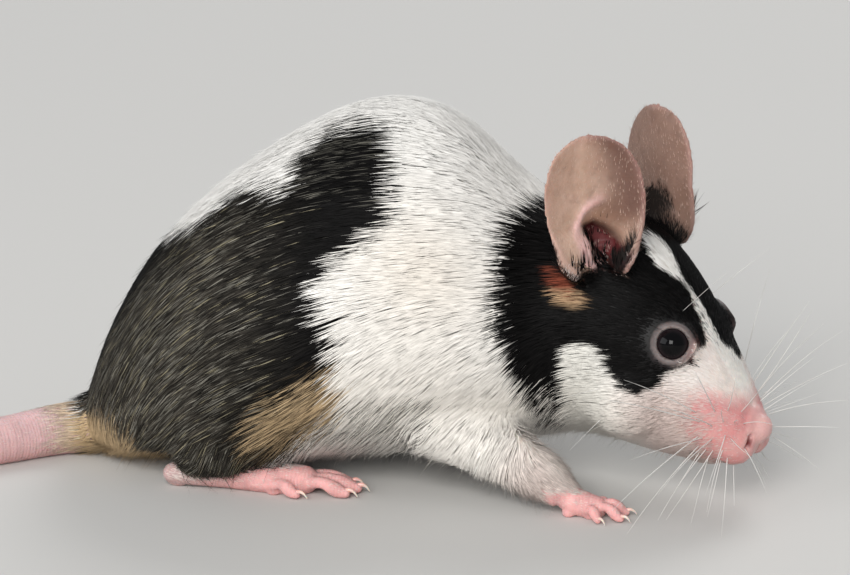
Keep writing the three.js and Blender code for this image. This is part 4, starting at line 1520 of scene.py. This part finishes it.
def skinMaterial():
    material, tree, shader = newMaterial("softSkin", Subsurface_Weight=0.25, Subsurface_Scale=0.0009,
                                         Specular_IOR_Level=0.25, Subsurface_Radius=(1.0, 0.38, 0.25))
    tree.links.new(tonedColour(tree, 1400.0, 0.28), shader.inputs["Base Color"])
    where = objectPlace(tree)
    # hair-fine streaks under the coat, pores and creases where the skin is bare
    streaks = addNode(tree, "ShaderNodeMapping", {"Vector": where, "Scale": (0.15, 1.0, 0.7)})
    hair = addNode(tree, "ShaderNodeTexNoise", {
        "Vector": streaks.outputs[0], "Scale": 9000.0, "Detail": 3.0})
    pores = addNode(tree, "ShaderNodeTexVoronoi", {"Vector": where, "Scale": 4200.0})
    creases = addNode(tree, "ShaderNodeTexNoise", {"Vector": where, "Scale": 2600.0, "Detail": 5.0})
    skinGrain = addMath(tree, "ADD", pores.outputs["Distance"], creases.outputs["Fac"])
    grain = addNode(tree, "ShaderNodeMix", {
        "Factor": attributeOf(tree, "bare"), 2: hair.outputs["Fac"], 3: skinGrain}, data_type="FLOAT")
    # the tail's fine rings, two to each that is modelled, and the scales of the feet
    ringTurn = 2 * math.pi / (tailShape["ringSpacing"] / 2)
    turn = addMath(tree, "MULTIPLY", attributeOf(tree, "tailRun"), ringTurn)
    ringShare = addMath(tree, "MULTIPLY", attributeOf(tree, "tailShare"), 0.4)
    rings = addMath(tree, "MULTIPLY", addMath(tree, "SINE", turn), ringShare)
    scales = addNode(tree, "ShaderNodeTexWave", {
        "Vector": where, "Scale": 1100.0, "Distortion": 2.5, "Detail": 2.0}, bands_direction="X")
    footScales = addMath(tree, "MULTIPLY", scales.outputs["Fac"], attributeOf(tree, "footShare"))
    height = addMath(tree, "ADD", grain.outputs[0], addMath(tree, "ADD", rings, footScales))
    relief = addNode(tree, "ShaderNodeBump", {"Height": height, "Strength": 0.35, "Distance": 0.00006})
    tree.links.new(relief.outputs["Normal"], shader.inputs["Normal"])
    rough = addNode(tree, "ShaderNodeMapRange", {
        "Value": attributeOf(tree, "wet"), "To Min": 0.52, "To Max": 0.3})
    tree.links.new(rough.outputs["Result"], shader.inputs["Roughness"])
    return material


def rampColour(tree, shader, factor, first, last):
    ramp = addNode(tree, "ShaderNodeValToRGB", {"Fac": factor})
    ramp.color_ramp.elements[0].color = (*first, 1)
    ramp.color_ramp.elements[1].color = (*last, 1)
    tree.links.new(ramp.outputs["Color"], shader.inputs["Base Color"])


def eyeMaterial():
    material, tree, shader = newMaterial("wetEye", Roughness=0.04, Specular_IOR_Level=0.16)
    pupil = attributeOf(tree, "pupil")
    rampColour(tree, shader, pupil, eyeSettings["irisTone"], eyeSettings["pupilTone"])
    return material


def clawMaterial():
    material, tree, shader = newMaterial("clawHorn", Roughness=0.28, Subsurface_Weight=0.3,
                                         Subsurface_Scale=0.0004)
    towardQuick = attributeOf(tree, "quick")
    rampColour(tree, shader, towardQuick, clawSettings["tipTone"], clawSettings["quickTone"])
    return material


def whiskerMaterial():
    material, tree, shader = newMaterial("whiskerHair", Roughness=0.35, Specular_IOR_Level=0.5)
    noise = addNode(tree, "ShaderNodeTexNoise", {
        "Vector": objectPlace(tree), "Scale": 260.0, "Detail": 2.0})
    rampColour(tree, shader, noise.outputs["Fac"], whiskerSettings["darkTone"], whiskerSettings["paleTone"])
    return material


print("materials")
for pieces, finish in ((coatPieces, coatMaterial()), ([skin], skinMaterial()), (eyes, eyeMaterial()),
                       (claws, clawMaterial()), (whiskers, whiskerMaterial())):
    for piece in pieces:
        piece.data.materials.clear()
        piece.data.materials.append(finish)
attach(skin, "root")
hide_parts(*[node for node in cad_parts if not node.startswith("eye")])

# floor and studio light
studio = {
    "floorSize": 6.0, "floor": (0.56, 0.55, 0.53), "sky": (0.86, 0.89, 0.93), "skyStrength": 0.42,
    "target": (0.01, 0, 0.015),
    # each light: its place, size, watts and colour
    "lights": {
        "keyLight": ((0.0, -1.0, 0.58), 0.6, 12.3, (1.0, 0.985, 0.965)),
        "fillLight": ((-0.9, -0.6, 0.5), 0.7, 3.6, (0.95, 0.97, 1.0)),
        "rimLight": ((0.2, 0.84, 0.76), 0.5, 5.2, (1, 1, 1)),
    },
}


def addFloor():
    floor, _ = addPrimitive("floor", bpy.ops.mesh.primitive_plane_add, size=studio["floorSize"])
    material, *_ = newMaterial("paleFloor", Roughness=0.8, Specular_IOR_Level=0.2,
                               Base_Color=(*studio["floor"], 1))
    floor.data.materials.append(material)


def addLight(name, place, size, energy, colour):
    data = bpy.data.lights.new(name, "AREA")
    data.size = size
    data.energy = energy
    data.color = colour
    light = bpy.data.objects.new(name, data)
    bpy.context.collection.objects.link(light)
    light.location = place
    back = Vector(place) - Vector(studio["target"])
    light.rotation_euler = back.to_track_quat("Z", "Y").to_euler()


addFloor()
for name, light in studio["lights"].items():
    addLight(name, *light)
bpy.context.scene.view_settings.view_transform = "Standard"
world = bpy.data.worlds.new("world")
bpy.context.scene.world = world
world.use_nodes = True
sky = world.node_tree.nodes["Background"]
sky.inputs["Color"].default_value = (*studio["sky"], 1)
sky.inputs["Strength"].default_value = studio["skyStrength"]
